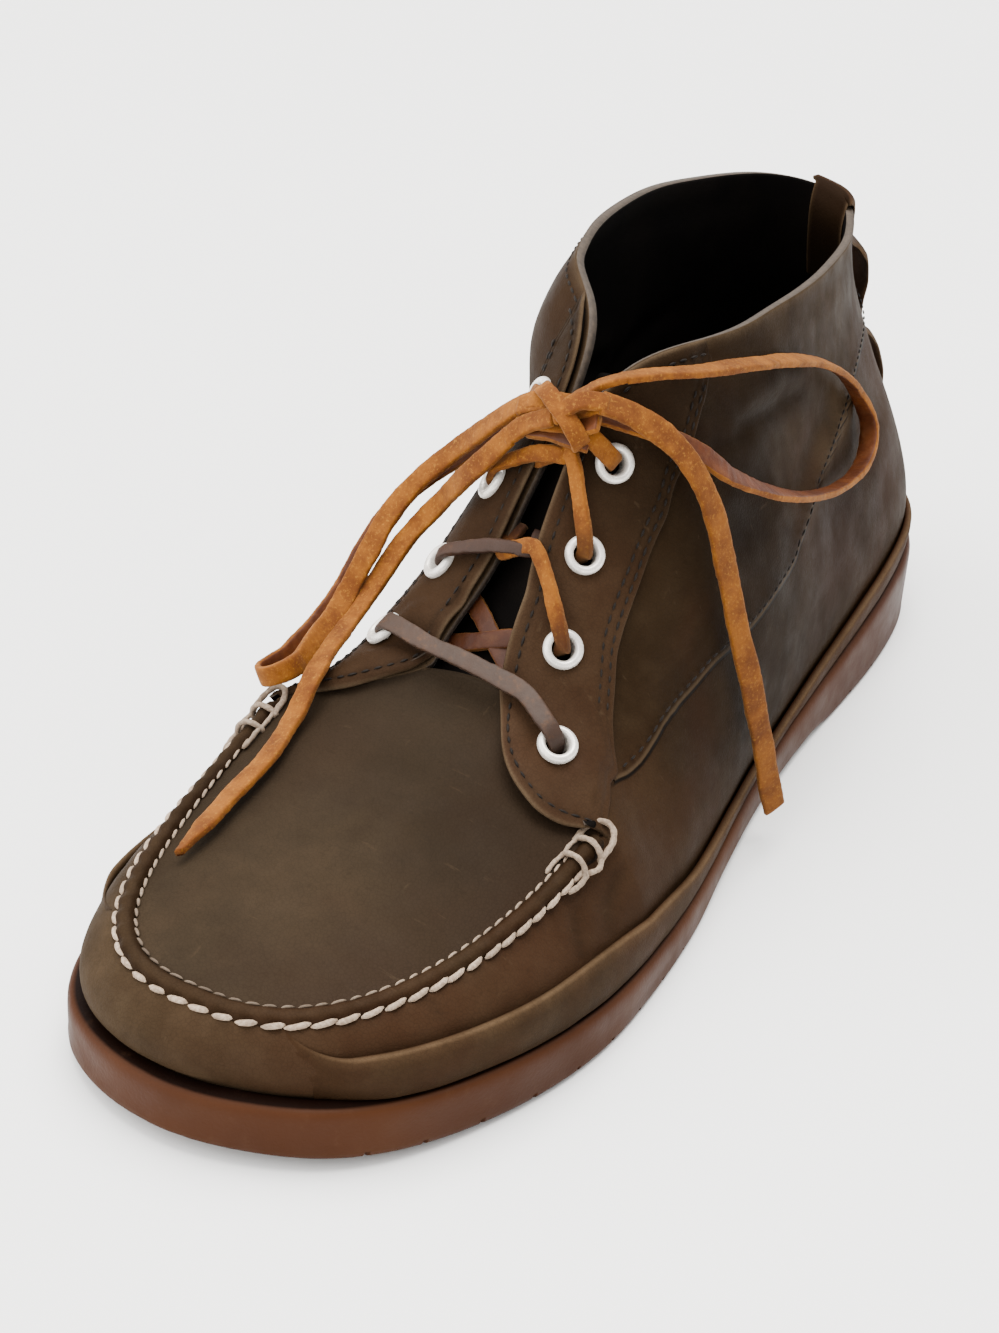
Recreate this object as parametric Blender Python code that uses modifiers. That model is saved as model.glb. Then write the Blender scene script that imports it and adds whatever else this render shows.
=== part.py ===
"""Moc-toe chukka boot, left shoe, as a set of separate solids.

Run with: blender --background --python part.py
World: metres, +Z up, toe towards -Y, outer (lateral) side towards +X, origin on the ground
under the middle of the outsole's box. The tables below are in millimetres, with F the
distance forward of the heel.
"""
import math

import bmesh
import bpy
import numpy as np
from mathutils import Matrix, Vector

for _old in list(bpy.data.objects):
    bpy.data.objects.remove(_old, do_unlink=True)

MM = 0.001
GAP = 0.3            # clearance kept between neighbouring pieces
# ---------------------------------------------------------------- named sizes, millimetres
L = 305.0            # outsole length
TOE_SPRING = 3.6     # rise of the sole's lower edge at the toe
SPRING_FROM = 0.68   # share of the length where the toe starts to rise
ARCH_RISE = 1.6      # hollow under the waist
WALL = 2.0           # upper leather and lining together
RIDGE = 3.0          # half width of the raised moc seam

# outsole outline: share of the length from the heel, inner edge, outer edge
OUTLINE = [
    # t,     medial, lateral
    (0.000,  -1.0,   1.0),
    (0.008, -12.0,  12.0),
    (0.030, -21.5,  22.0),
    (0.070, -29.5,  30.5),
    (0.130, -34.5,  35.5),
    (0.200, -36.3,  37.7),
    (0.300, -35.2,  38.6),
    (0.400, -33.6,  40.4),
    (0.500, -35.2,  44.5),
    (0.600, -41.2,  50.0),
    (0.700, -48.0,  53.0),
    (0.760, -50.5,  53.0),
    (0.820, -49.6,  50.0),
    (0.880, -46.7,  43.8),
    (0.930, -41.6,  35.6),
    (0.965, -34.0,  25.6),
    (0.988, -23.0,  12.4),
    (1.000,  -6.0,  -4.0),
]
# sole top and rand by distance from the heel
SOLE = [
    # F,   sole_top, seat (inset of the upper), rand height along the wall
    (0,    21.5, 4.2, 7.2),
    (30,   20.5, 4.2, 7.4),
    (60,   17.6, 4.2, 7.2),
    (90,   13.6, 4.0, 6.2),
    (120,  10.8, 3.8, 4.8),
    (150,   9.3, 3.7, 4.5),
    (180,   8.8, 3.9, 5.6),
    (210,   9.6, 4.2, 8.2),
    (240,  11.6, 4.2, 9.2),
    (270,  13.0, 4.2, 9.2),
    (295,  14.4, 4.4, 9.0),
    (305,  14.8, 4.6, 8.8),
]

def pchip(xs, ys, x):
    """Monotone cubic through the rows of a table."""
    xs = np.asarray(xs, float); ys = np.asarray(ys, float); x = np.clip(np.asarray(x, float), xs[0], xs[-1])
    h = np.diff(xs); d = np.diff(ys) / h
    m = np.zeros_like(ys)
    for k in range(1, len(xs) - 1):
        if d[k - 1] * d[k] > 0:
            w1 = 2 * h[k] + h[k - 1]; w2 = h[k] + 2 * h[k - 1]
            m[k] = (w1 + w2) / (w1 / d[k - 1] + w2 / d[k])
    m[0], m[-1] = d[0], d[-1]
    i = np.clip(np.searchsorted(xs, x, side="right") - 1, 0, len(h) - 1)
    t = (x - xs[i]) / h[i]
    return ((2*t**3 - 3*t**2 + 1) * ys[i] + (t**3 - 2*t**2 + t) * h[i] * m[i]
            + (-2*t**3 + 3*t**2) * ys[i + 1] + (t**3 - t**2) * h[i] * m[i + 1])

class Closed:
    """Periodic cubic spline through points, by chord length; parameter 0 to 1."""
    def __init__(self, pts, knots=None):
        p = np.asarray(pts, float); n = len(p)
        q = np.vstack([p, p[:1]])
        if knots is None:
            d = np.r_[0, np.cumsum(np.linalg.norm(np.diff(q, axis=0), axis=1))]
            self.k = d / d[-1]
        else:
            self.k = np.asarray(knots, float)
        h = np.diff(self.k)
        A = np.zeros((n, n)); B = np.zeros((n, p.shape[1]))
        for i in range(n):
            hm, hp = h[i - 1], h[i]
            A[i, i - 1] += hm; A[i, i] += 2 * (hm + hp); A[i, (i + 1) % n] += hp
            B[i] = 6 * ((q[i + 1] - p[i]) / hp - (p[i] - p[i - 1]) / hm)
        self.M = np.linalg.solve(A, B); self.M = np.vstack([self.M, self.M[:1]])
        self.q, self.h = q, h
    def __call__(self, u):
        u = np.mod(np.asarray(u, float), 1.0)
        i = np.clip(np.searchsorted(self.k, u, side="right") - 1, 0, len(self.h) - 1)
        h = self.h[i][..., None]; a = (self.k[i + 1] - u)[..., None] / h; b = (u - self.k[i])[..., None] / h
        return (a * self.q[i] + b * self.q[i + 1]
                + ((a**3 - a) * self.M[i] + (b**3 - b) * self.M[i + 1]) * h * h / 6)

_rows = np.array(OUTLINE)
_lat = np.stack([_rows[:, 2], _rows[:, 0] * L], 1)
_med = np.stack([_rows[:, 1], _rows[:, 0] * L], 1)
OUT = Closed(np.vstack([_lat, _med[::-1]]))     # heel -> lateral -> toe -> medial
_u = np.linspace(0, 1, 4001)[:-1]; _p = OUT(_u)
U_TOE = float(_u[np.argmax(_p[:, 1])])
def u_of(side, F):
    """Perimeter parameter of the point at distance F on one side (+1 lateral, -1 medial)."""
    heel = _u[np.argmin(_p[:, 1])]
    if side > 0:
        sel = (_u >= 0) & (_u <= U_TOE); us, fs = _u[sel], _p[sel, 1]
    else:
        sel = _u >= U_TOE; us, fs = _u[sel][::-1], _p[sel, 1][::-1]
    fs = np.maximum.accumulate(fs)
    fs = fs + np.arange(len(fs)) * 1e-9
    return float(np.interp(F, fs, us))
def outline(u, inset=0.0):
    u = np.asarray(u, float)
    p = OUT(u); t = OUT(u + 1e-4) - OUT(u - 1e-4)
    t /= np.linalg.norm(t, axis=-1)[..., None]
    n = np.stack([t[..., 1], -t[..., 0]], -1)      # outward
    return p - n * np.asarray(inset)[..., None], n
def spring(F):
    k = np.clip((np.asarray(F, float) / L - SPRING_FROM) / (1 - SPRING_FROM), 0, 1)
    return TOE_SPRING * k**2.2
_s = np.array(SOLE)
def sole_top(F): return pchip(_s[:, 0], _s[:, 1], F)
def seat(F): return pchip(_s[:, 0], _s[:, 2], F)
def rand_height(F): return pchip(_s[:, 0], _s[:, 3], F)

# raised moc seam: a squared-off U round the toe
SEAM = dict(apex_x=-3.5, apex_f=295.0, apex_z=29.6, end_f=206.9, end_x=-1.1, half=39.2, power=0.77,
            lateral_z=37.2, medial_z=42.5, rise=2.6, stop=0.985)
def seam(s):
    """s from +1 (lateral end) through 0 (toe) to -1 (medial end)."""
    q = SEAM; th = np.asarray(s, float) * q["stop"] * np.pi / 2
    c = np.abs(np.cos(th))**q["power"]
    x = q["end_x"] + (q["apex_x"] - q["end_x"]) * c + q["half"] * np.sign(th) * np.abs(np.sin(th))**q["power"]
    f = q["end_f"] + (q["apex_f"] - q["end_f"]) * c
    side = 0.5 + 0.5 * np.tanh(2.2 * th)
    ze = q["medial_z"] + (q["lateral_z"] - q["medial_z"]) * side
    z = q["apex_z"] + (ze - q["apex_z"]) * (1 - c)**q["rise"]
    return np.stack([x, f, z], -1)

# sections round the boot: side, base distance, top edge x, f, z, then the curve between them:
# o1 belly outward, h1 belly height, o2 top handle outward, d2 top handle down
SECTIONS = [
    # name,              side, base,  x,     f,     z,     o1,   h1,   o2,   d2
    ("heel",                1,   0,  -6.0,  14.5, 105.0,  11.0, 23.5, -7.5, 25.0),
    ("heel_corner_out",     1,  10,   1.5,  20.0, 104.5,   8.5, 23.5, -5.0, 25.0),
    ("counter_out",         1,  32,   9.0,  36.0, 104.5,   6.5, 24.0,  0.5, 27.0),
    ("rear_quarter_out",    1,  60,  15.0,  58.0, 107.0,   6.0, 25.0,  3.0, 30.0),
    ("ankle_out",           1,  90,  19.5,  87.0, 110.0,   6.5, 27.0,  5.0, 32.0),
    ("quarter_out",         1, 117,  20.5, 113.0, 112.5,   8.0, 28.0,  8.0, 32.0),
    ("collar_front_out",    1, 140,  17.0, 137.0, 113.5,   7.0, 28.0, 12.0, 28.0),
    ("corner_out",          1, 151,   9.5, 153.5, 112.0,   6.5, 28.0, 15.0, 20.0),
    ("facing1_out",         1, 159,   3.5, 163.2, 102.6,   6.0, 28.0, 18.0, 13.0),
    ("facing2_out",         1, 167,   2.5, 175.8,  86.2,   5.5, 26.0, 19.0,  7.0),
    ("facing3_out",         1, 176,   4.5, 187.2,  72.2,   5.0, 23.0, 19.0,  3.0),
    ("facing4_out",         1, 184,   8.0, 195.5,  59.2,   4.5, 19.0, 18.0,  1.0),
    ("throat_out",          1, 192,  12.0, 201.5,  53.0,   4.0, 16.0, 16.0,  0.5),
    ("wing_out",            1, 200,  24.0, 207.0,  46.0,   3.0, 14.0, 12.5,  1.5),
    ("seam_end_out",        1, 210,  None,  1.00,  None,   2.5, 12.0,  6.0,  3.5),
    ("seam_joint_out",      1, 245,  None,  0.72,  None,   2.5, 10.0,  7.0,  3.0),
    ("seam_toe_out",        1, 282,  None,  0.36,  None,   2.0,  8.0,  6.0,  2.0),
    ("toe",                 1, 305,  None,  0.00,  None,   2.0,  7.5,  5.5,  1.6),
    ("seam_toe_in",        -1, 284,  None, -0.36,  None,   2.0,  8.0,  6.0,  2.0),
    ("seam_joint_in",      -1, 245,  None, -0.72,  None,   2.5, 11.0,  7.0,  3.5),
    ("seam_end_in",        -1, 209,  None, -1.00,  None,   2.5, 14.0,  6.0,  4.5),
    ("wing_in",            -1, 199, -23.0, 207.5,  48.5,   3.0, 21.0, 13.0, -0.5),
    ("throat_in",          -1, 191, -11.0, 201.5,  53.5,   3.5, 27.0, 18.0, -4.5),
    ("facing4_in",         -1, 183, -10.5, 195.0,  57.5,   4.0, 29.0, 18.0, -3.5),
    ("facing3_in",         -1, 175,  -7.5, 183.4,  68.6,   4.5, 30.0, 18.5, -1.0),
    ("facing2_in",         -1, 166,  -5.0, 173.8,  82.8,   5.0, 28.0, 18.0, 2.0),
    ("facing1_in",         -1, 157,  -3.0, 162.3,  99.2,   5.0, 30.0, 16.5, 8.5),
    ("corner_in",          -1, 149,  -3.5, 153.0, 112.5,   5.0, 30.0, 13.5, 17.0),
    ("collar_turn_in",     -1, 140,  -9.0, 142.0, 119.5,   5.0, 30.0, 10.0, 26.0),
    ("collar_front_in",    -1, 128, -17.0, 124.0, 122.5,   5.0, 30.0,  7.0, 30.0),
    ("quarter_in",         -1, 109, -25.0,  98.0, 121.0,   5.0, 29.0,  4.0, 32.0),
    ("ankle_in",           -1,  88, -29.0,  75.0, 118.0,   5.5, 28.0,  2.0, 32.0),
    ("rear_quarter_in",    -1,  60, -29.0,  50.0, 113.5,   6.5, 26.0,  0.0, 30.0),
    ("counter_in",         -1,  32, -23.5,  27.0, 109.5,   8.5, 25.0, -3.0, 27.0),
    ("heel_corner_in",     -1,  10, -15.0,  15.5, 106.5,  10.5, 24.0, -6.5, 26.0),
]
def _station_u(row): return u_of(row[1], row[2]) if row[2] > 0 else 0.0
_us = np.array([_station_u(r) for r in SECTIONS]); _us[17] = U_TOE
_top = np.array([seam(r[4]) if r[3] is None else (r[3], r[4], r[5]) for r in SECTIONS])
_hnd = np.array([r[6:10] for r in SECTIONS], float)
TOPCURVE = Closed(_top, np.r_[_us, 1.0])
HANDLES = Closed(_hnd, np.r_[_us, 1.0])
_seam_rows = [i for i, r in enumerate(SECTIONS) if r[3] is None]
_su = _us[_seam_rows]; _ss = np.array([SECTIONS[i][4] for i in _seam_rows])
def s_of_u(u): return pchip(_su, _ss, u)
def u_of_s(s): return pchip(_ss[::-1], _su[::-1], s)
U_LAT, U_MED = float(_su[0]), float(_su[-1])
def top_edge(u):
    u = np.mod(np.asarray(u, float), 1.0)
    t = TOPCURVE(u)
    inside = (u >= U_LAT) & (u <= U_MED)
    return np.where(inside[..., None], seam(s_of_u(np.clip(u, U_LAT, U_MED))), t)
def wrap(u, v):
    """Outer face of the upper's side: v 0 at the sole, 1 at the top edge."""
    u = np.asarray(u, float); v = np.asarray(v, float)
    p0, n = outline(u, 0.0)
    F = p0[..., 1]
    p0, n = outline(u, seat(F))
    z0 = sole_top(p0[..., 1]) + 0.3
    a = np.concatenate([p0, z0[..., None]], -1)
    d = top_edge(u)
    h = HANDLES(u)
    n3 = np.concatenate([n, 0 * z0[..., None]], -1); up = np.array([0, 0, 1.0])
    b = a + n3 * h[..., 0:1] + up * h[..., 1:2]
    c = d + n3 * h[..., 2:3] - up * h[..., 3:4]
    v = v[..., None]
    return a * (1 - v)**3 + 3 * b * v * (1 - v)**2 + 3 * c * v**2 * (1 - v) + d * v**3
# plug
CROWN = [
    # F,   centre height
    (190, 56.0), (200, 52.0), (212, 48.0), (230, 43.2), (250, 38.8), (270, 35.0), (285, 32.0), (295.0, 29.6),
]
_c = np.array(CROWN)
_sg = np.linspace(1, 0, 400); _sl = seam(_sg); _sm = seam(-_sg)
def plug_point(s, q):
    """s 1 at the seam ends to 0 at the toe; q from +1 at the lateral seam to -1 at the medial seam."""
    s = np.asarray(s, float); q = np.asarray(q, float)
    a, b = seam(s), seam(-s)
    m = (a + b) / 2
    p = m + (a - b) / 2 * q[..., None]
    zc = pchip(_c[:, 0], _c[:, 1], m[..., 1])
    zside = np.where(q >= 0, a[..., 2], b[..., 2])
    p[..., 2] = zside + (zc - zside) * (1 - np.abs(q)**2.2)
    return p

# ---------------------------------------------------------------- tables of the smaller pieces
# tongue: centre line and half width, from under the plug to inside the collar
TONGUE = [
    # f,   below the wall's outer face, extra in the middle, start on the wall, end on the wall
    (210.0, 6.4, -0.6, 0.84, 0.985),
    (201.0, 6.4, 0.2, 0.78, 0.985),
    (193.0, 6.4, 0.6, 0.74, 0.97),
    (185.0, 6.4, 0.8, 0.74, 0.95),
    (177.0, 6.4, 0.8, 0.75, 0.94),
    (169.0, 6.4, 0.6, 0.78, 0.94),
    (161.0, 6.4, 0.4, 0.81, 0.94),
    (154.5, 6.4, 0.2, 0.85, 0.95),
]
TONGUE_THICK = 2.4

# eyelets: centre on the stay's outer face
EYELETS = [
    # name,          side,  x,     f,     z
    ("eyelet_out_1",  1,   11.7, 166.0,  93.8),
    ("eyelet_out_2",  1,   13.0, 179.1,  78.2),
    ("eyelet_out_3",  1,   16.2, 192.1,  62.7),
    ("eyelet_out_4",  1,   23.8, 206.4,  49.4),
    ("eyelet_in_1",  -1,  -11.0, 157.5,  99.8),
    ("eyelet_in_2",  -1,  -14.7, 169.9,  83.3),
    ("eyelet_in_3",  -1,  -20.1, 181.1,  66.9),
    ("eyelet_in_4",  -1,  -25.2, 194.9,  54.8),
]
EYELET = dict(flange=4.35, hole=2.45, barrel=2.9, rise=0.85, lift=0.65, depth=3.9, clear=3.25)

# stays: name of the section, where the panel starts on the wall, lobe edge beyond the quarter (x, f, z)
STAYS = [
    # side, section,          start, lobe
    (1,  "collar_front_out",  0.95, None),
    (1,  "corner_out",        0.76, None),
    (1,  "facing1_out",       0.69, None),
    (1,  "facing2_out",       0.68, None),
    (1,  "facing3_out",       0.68, None),
    (1,  "facing4_out",       0.65, None),
    (1,  "throat_out",        0.58, (12.5, 210.0, 51.6)),
    (1,  "wing_out",          0.68, (23.0, 221.0, 45.6)),
    (1,  "seam_end_out",      0.90, (33.0, 215.5, 40.6)),
    (-1, "collar_turn_in",    0.95, None),
    (-1, "corner_in",         0.77, None),
    (-1, "facing1_in",        0.70, None),
    (-1, "facing2_in",        0.66, None),
    (-1, "facing3_in",        0.62, None),
    (-1, "facing4_in",        0.58, None),
    (-1, "throat_in",         0.55, (-9.0, 206.5, 54.2)),
    (-1, "wing_in",           0.68, (-20.0, 217.5, 50.6)),
    (-1, "seam_end_in",       0.90, (-33.5, 214.5, 44.4)),
]
STAY_THICK = 1.6
STAY_GAP = 0.65

# heel pull: strap centre line as height and distance behind the heel's outer face
PULL = [
    # z,     behind
    (84.0,  -6.2),
    (94.0,  -6.4),
    (102.5, -6.0),
    (107.6, -3.8),
    (108.4, -1.2),
    (106.8,  1.2),
    (101.0,  2.1),
    (95.5,   2.3),
    (92.0,   4.6),
    (88.0,   6.3),
    (84.0,   4.4),
    (81.0,   1.7),
    (75.0,   1.6),
    (70.0,   1.7),
    (66.5,   3.5),
    (60.5,   4.5),
    (54.0,   4.3),
    (48.5,   3.6),
    (44.0,   1.7),
    (36.0,   1.6),
    (30.6,   1.6),
]
PULL_HALF, PULL_THICK = 9.0, 1.8
LEAN = -0.075        # the back seam leans to the inner side with height


MIDDLE_X = 1.40      # middle of the outsole's width, which is where the world's x = 0 lies
MIDDLE_F = L / 2 - 0.4445   # middle of the boot's length, the heel strap's loops included


# ---------------------------------------------------------------- helpers
def world(p):
    """Table frame (x, f, z) in millimetres to world metres."""
    p = np.asarray(p, float)
    return np.stack([p[..., 0] - MIDDLE_X, MIDDLE_F - p[..., 1], p[..., 2]], -1) * MM


def unit(v):
    return v / np.maximum(np.linalg.norm(v, axis=-1, keepdims=True), 1e-9)


def collection(name, hidden=False):
    c = bpy.data.collections.new(name)
    bpy.context.scene.collection.children.link(c)
    c.hide_render = hidden
    return c


BOOT = collection("chukka_boot")
CUTTERS = collection("cutters", hidden=True)


def material(name, color, rough, metal=0.0):
    m = bpy.data.materials.new(name)
    m.use_nodes = True
    b = m.node_tree.nodes["Principled BSDF"]
    b.inputs["Base Color"].default_value = (*color, 1.0)
    b.inputs["Roughness"].default_value = rough
    b.inputs["Metallic"].default_value = metal
    return m


def add(name, verts, faces, mat=None, where=None, outward=None):
    """A mesh object from table-frame points; faces are turned outward."""
    me = bpy.data.meshes.new(name)
    me.from_pydata([tuple(v) for v in world(verts)], [], [tuple(int(i) for i in f) for f in faces])
    bm = bmesh.new()
    bm.from_mesh(me)
    bmesh.ops.remove_doubles(bm, verts=bm.verts, dist=1e-7)
    bmesh.ops.recalc_face_normals(bm, faces=bm.faces)
    if outward is not None:                       # open surface: one face tells which way is out
        bm.faces.ensure_lookup_table()
        point, direction = outward
        target = Vector(world(np.array(point, float)))
        near = min(bm.faces, key=lambda f: (f.calc_center_median() - target).length)
        if near.normal.dot(Vector((direction[0], -direction[1], direction[2]))) < 0:
            bmesh.ops.reverse_faces(bm, faces=bm.faces)
    bm.to_mesh(me)
    bm.free()
    ob = bpy.data.objects.new(name, me)
    (where or BOOT).objects.link(ob)
    if mat:
        me.materials.append(mat)
    me.shade_smooth()
    me.set_sharp_from_angle(angle=math.radians(40))
    return ob


def loft(rings, caps=True):
    """Closed rings of the same count, joined along their order."""
    rings = [np.asarray(r, float) for r in rings]
    n = len(rings[0])
    verts = np.vstack(rings)
    faces = []
    for k in range(len(rings) - 1):
        a, b = k * n, (k + 1) * n
        for i in range(n):
            j = (i + 1) % n
            faces.append((a + i, a + j, b + j, b + i))
    if caps:
        faces.append(tuple(range(n))[::-1])
        faces.append(tuple(range((len(rings) - 1) * n, len(rings) * n)))
    return verts, faces


LEATHER = material("leather_brown", (0.105, 0.072, 0.048), 0.62)
STRIP = material("leather_strip", (0.13, 0.085, 0.055), 0.6)
LINING = material("lining_dark", (0.02, 0.015, 0.012), 0.8)
RUBBER = material("rubber_brown", (0.17, 0.065, 0.03), 0.6)
METAL = material("eyelet_silver", (0.8, 0.78, 0.74), 0.3, 1.0)
LACE = material("lace_rawhide", (0.42, 0.17, 0.04), 0.75)
INSOLE = material("insole_tan", (0.12, 0.075, 0.045), 0.7)

# ---------------------------------------------------------------- perimeter columns shared by upper, rand and stays
NAMES = [r[0] for r in SECTIONS]


def columns():
    """Perimeter parameters: each section, its midpoint, and an even run of the moc seam."""
    us, kind = [], []
    n = len(SECTIONS)
    lat, med = NAMES.index("seam_end_out"), NAMES.index("seam_end_in")
    for i in range(lat):
        step = 2
        for k in range(step):
            us.append(float(_us[i] + (_us[i + 1] - _us[i]) * k / step))
            kind.append(None)
    for s in np.linspace(1, -1, 2 * SEAM_ROWS + 1):
        us.append(float(u_of_s(s)))
        kind.append(float(s))
    ends = np.r_[_us, 1.0]
    for i in range(med, n):
        for k in range(2):
            if i == med and k == 0:
                continue
            us.append(float(ends[i] + (ends[i + 1] - ends[i]) * k / 2))
            kind.append(None)
    return np.array(us), kind


SEAM_ROWS = 11
U, KIND = columns()
V = np.array([0.0, 0.1, 0.22, 0.36, 0.52, 0.68, 0.84, 1.0])
V_SEAM = np.array([0.0, 0.12, 0.26, 0.42, 0.58, 0.74, 0.87, 1.0])
RIDGE_RISE = 1.5


def skin_normal(u, v, e=1e-3):
    """Unit normal of the wall, pointing out."""
    u = np.asarray(u, float); v = np.asarray(v, float)
    a = wrap(u + e, v) - wrap(u - e, v)
    b = wrap(u, np.minimum(v + e, 1)) - wrap(u, np.maximum(v - e, 0))
    return unit(np.cross(a, b))


def build_upper():
    grid = np.zeros((len(U), len(V), 3))
    for i, u in enumerate(U):
        v = V_SEAM if KIND[i] is not None else V
        grid[i] = wrap(np.full(len(V), u), v)
        if KIND[i] is not None:
            grid[i, -1, 2] += RIDGE_RISE * min(1.0, max(0.0, 7 * (0.97 - abs(KIND[i]))))
    verts = list(grid.reshape(-1, 3))
    nv = len(V)
    W = lambda i, j: (i % len(U)) * nv + j
    faces = []
    for i in range(len(U)):
        for j in range(nv - 1):
            faces.append((W(i, j), W(i + 1, j), W(i + 1, j + 1), W(i, j + 1)))
    col = {round(k, 6): i for i, k in enumerate(KIND) if k is not None}
    across = 12
    apex = W(col[0.0], nv - 1)
    rows = [[apex] * (across + 1)]
    qs = np.linspace(1, -1, across + 1)
    qs = np.sign(qs) * (1 - (1 - np.abs(qs))**1.15)
    for s in np.linspace(0, 1, SEAM_ROWS + 1)[1:]:
        a, b = col[round(float(s), 6)], col[round(-float(s), 6)]
        pts = plug_point(np.full(across - 1, s), qs[1:-1])
        row = [W(a, nv - 1)]
        for p in pts:
            row.append(len(verts)); verts.append(p)
        row.append(W(b, nv - 1))
        rows.append(row)
    lat_end, med_end = col[1.0], col[-1.0]
    rear = [W(lat_end - k, nv - 1) for k in range(5)]
    med = [W(med_end + k, nv - 1) for k in range(5)][::-1]
    p, q = verts[rear[-1]], verts[med[0]]
    for t in (0.25, 0.5, 0.75):
        rear.append(len(verts))
        m = p * (1 - t) + q * t
        m = m + np.array([0, -2.5 * math.sin(math.pi * t), 0.4 * math.sin(math.pi * t)])
        verts.append(m)
    rear += med
    rows.append(rear)
    for k in range(len(rows) - 1):
        for j in range(across):
            f = [rows[k][j], rows[k][j + 1], rows[k + 1][j + 1], rows[k + 1][j]]
            g = []
            for x in f:
                if x not in g:
                    g.append(x)
            if len(g) > 2:
                faces.append(tuple(g))
    ob = add("upper", np.array(verts), faces, LEATHER, outward=((48, 230, 20), (1, 0, 0.2)))
    mod = ob.modifiers.new("wall", "SOLIDIFY")
    mod.thickness, mod.offset = WALL * MM, -1.0
    mod.use_even_offset, mod.thickness_clamp = False, 0.0
    return ob


def build_sole():
    lat = np.array([u_of(1, f) for f in SOLE_F])
    med = np.array([u_of(-1, f) for f in SOLE_F[::-1]])
    us = np.r_[0.0, lat, U_TOE, med]
    rings = []
    levels = [  # inset, from the bottom, from the top
        (1.2, 0.0, None), (0.3, 0.5, None), (0.0, 1.8, None), (0.0, None, 2.6), (0.35, None, 0.9), (1.3, None, 0.0),
    ]
    base, _ = outline(us, 0.0)
    F0 = base[:, 1]
    for inset, up, down in levels:
        p, _ = outline(us, inset)
        z = sole_low(F0) + up if up is not None else sole_top(p[:, 1]) - down
        rings.append(np.concatenate([p, z[:, None]], 1))
    verts, faces = loft(rings, caps=False)
    n = len(us)
    half = len(lat)
    for base_i, flip in ((0, True), ((len(levels) - 1) * n, False)):
        for k in range(half + 1):               # strips across, from the heel to the toe
            a, b = k, k + 1
            c, d = (n - k - 1) % n, (n - k) % n
            f = [base_i + a, base_i + b, base_i + c, base_i + d]
            g = []
            for x in f:
                if x not in g:
                    g.append(x)
            if len(g) > 2:
                faces.append(tuple(g[::-1] if flip else g))
    return add("outsole", verts, faces, RUBBER)


ARCH = [
    # f,   rise of the sole's underside
    (0, 0.0), (84, 0.0), (98, ARCH_RISE), (165, ARCH_RISE), (186, 0.0), (305, 0.0),
]
_a = np.array(ARCH, float)


def sole_low(F):
    return spring(F) + pchip(_a[:, 0], _a[:, 1], F)


SOLE_F = np.r_[3, 8, 15, 24, 35, 48, 62, 76, 84, 91, 98, 110, 124, 138, 152, 165, 175, 186, 197, 208, 219, 230, 241, 251, 261, 270, 278, 285, 291, 296, 300, 303]
GROOVES = [12, 27, 42, 57, 72, 194, 206, 218, 230, 242, 254, 266, 278, 289]   # tread: distance of each groove from the heel


def box(name, lo, hi, where):
    bpy.ops.mesh.primitive_cube_add(size=1.0)
    ob = bpy.context.object
    ob.name = name
    lo, hi = world(np.array(lo, float)), world(np.array(hi, float))
    ob.data.transform(Matrix.Translation(Vector((lo + hi) / 2)) @ Matrix.Diagonal((*np.abs(hi - lo), 1.0)))
    for c in ob.users_collection:
        c.objects.unlink(ob)
    where.objects.link(ob)
    ob.hide_render, ob.display_type = True, "WIRE"
    return ob


def cut(ob, cutters, name):
    c = bpy.data.collections.new(name)
    CUTTERS.children.link(c)
    for x in cutters:
        for old in x.users_collection:
            old.objects.unlink(x)
        c.objects.link(x)
        x.hide_render, x.display_type = True, "WIRE"
    m = ob.modifiers.new(name, "BOOLEAN")
    m.operation, m.operand_type, m.solver, m.collection = "DIFFERENCE", "COLLECTION", "EXACT", c
    return m


def build_tread(sole):
    cutters = []
    for k, f in enumerate(GROOVES):
        top = 1.7 + float(spring(f))
        cutters.append(box(f"groove_{k}", (-70, f - 1.1, -3), (70, f + 1.1, top), CUTTERS))
    return cut(sole, cutters, "tread")


def build_insole():
    fs = SOLE_F[2:-3:1]
    rings = []
    us = np.r_[0.0, [u_of(1, f) for f in fs], U_TOE, [u_of(-1, f) for f in fs[::-1]]]
    for extra, z in ((1.2, 0.0), (0.6, 0.8), (0.6, 2.2), (1.4, 3.0)):
        p, _ = outline(us, seat(outline(us)[0][:, 1]) + WALL + extra)
        rings.append(np.concatenate([p, (sole_top(p[:, 1]) + GAP + 0.1 + z)[:, None]], 1))
    verts, faces = loft(rings, caps=False)
    n, half = len(us), len(fs)
    for base_i, flip in ((0, True), (3 * n, False)):
        for k in range(half + 1):
            f = [base_i + k, base_i + k + 1, base_i + (n - k - 1) % n, base_i + (n - k) % n]
            g = []
            for x in f:
                if x not in g:
                    g.append(x)
            if len(g) > 2:
                faces.append(tuple(g[::-1] if flip else g))
    return add("insole", verts, faces, INSOLE)


def edge_u(side, f):
    """Perimeter parameter of the facing edge whose top lies at f."""
    names = [n for n in NAMES if n.endswith("_out" if side > 0 else "_in") and
             (n.startswith(("corner", "facing", "throat")))]
    rows = sorted((SECTIONS[NAMES.index(n)][4], float(_us[NAMES.index(n)])) for n in names)
    return float(np.interp(f, [r[0] for r in rows], [r[1] for r in rows]))


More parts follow.
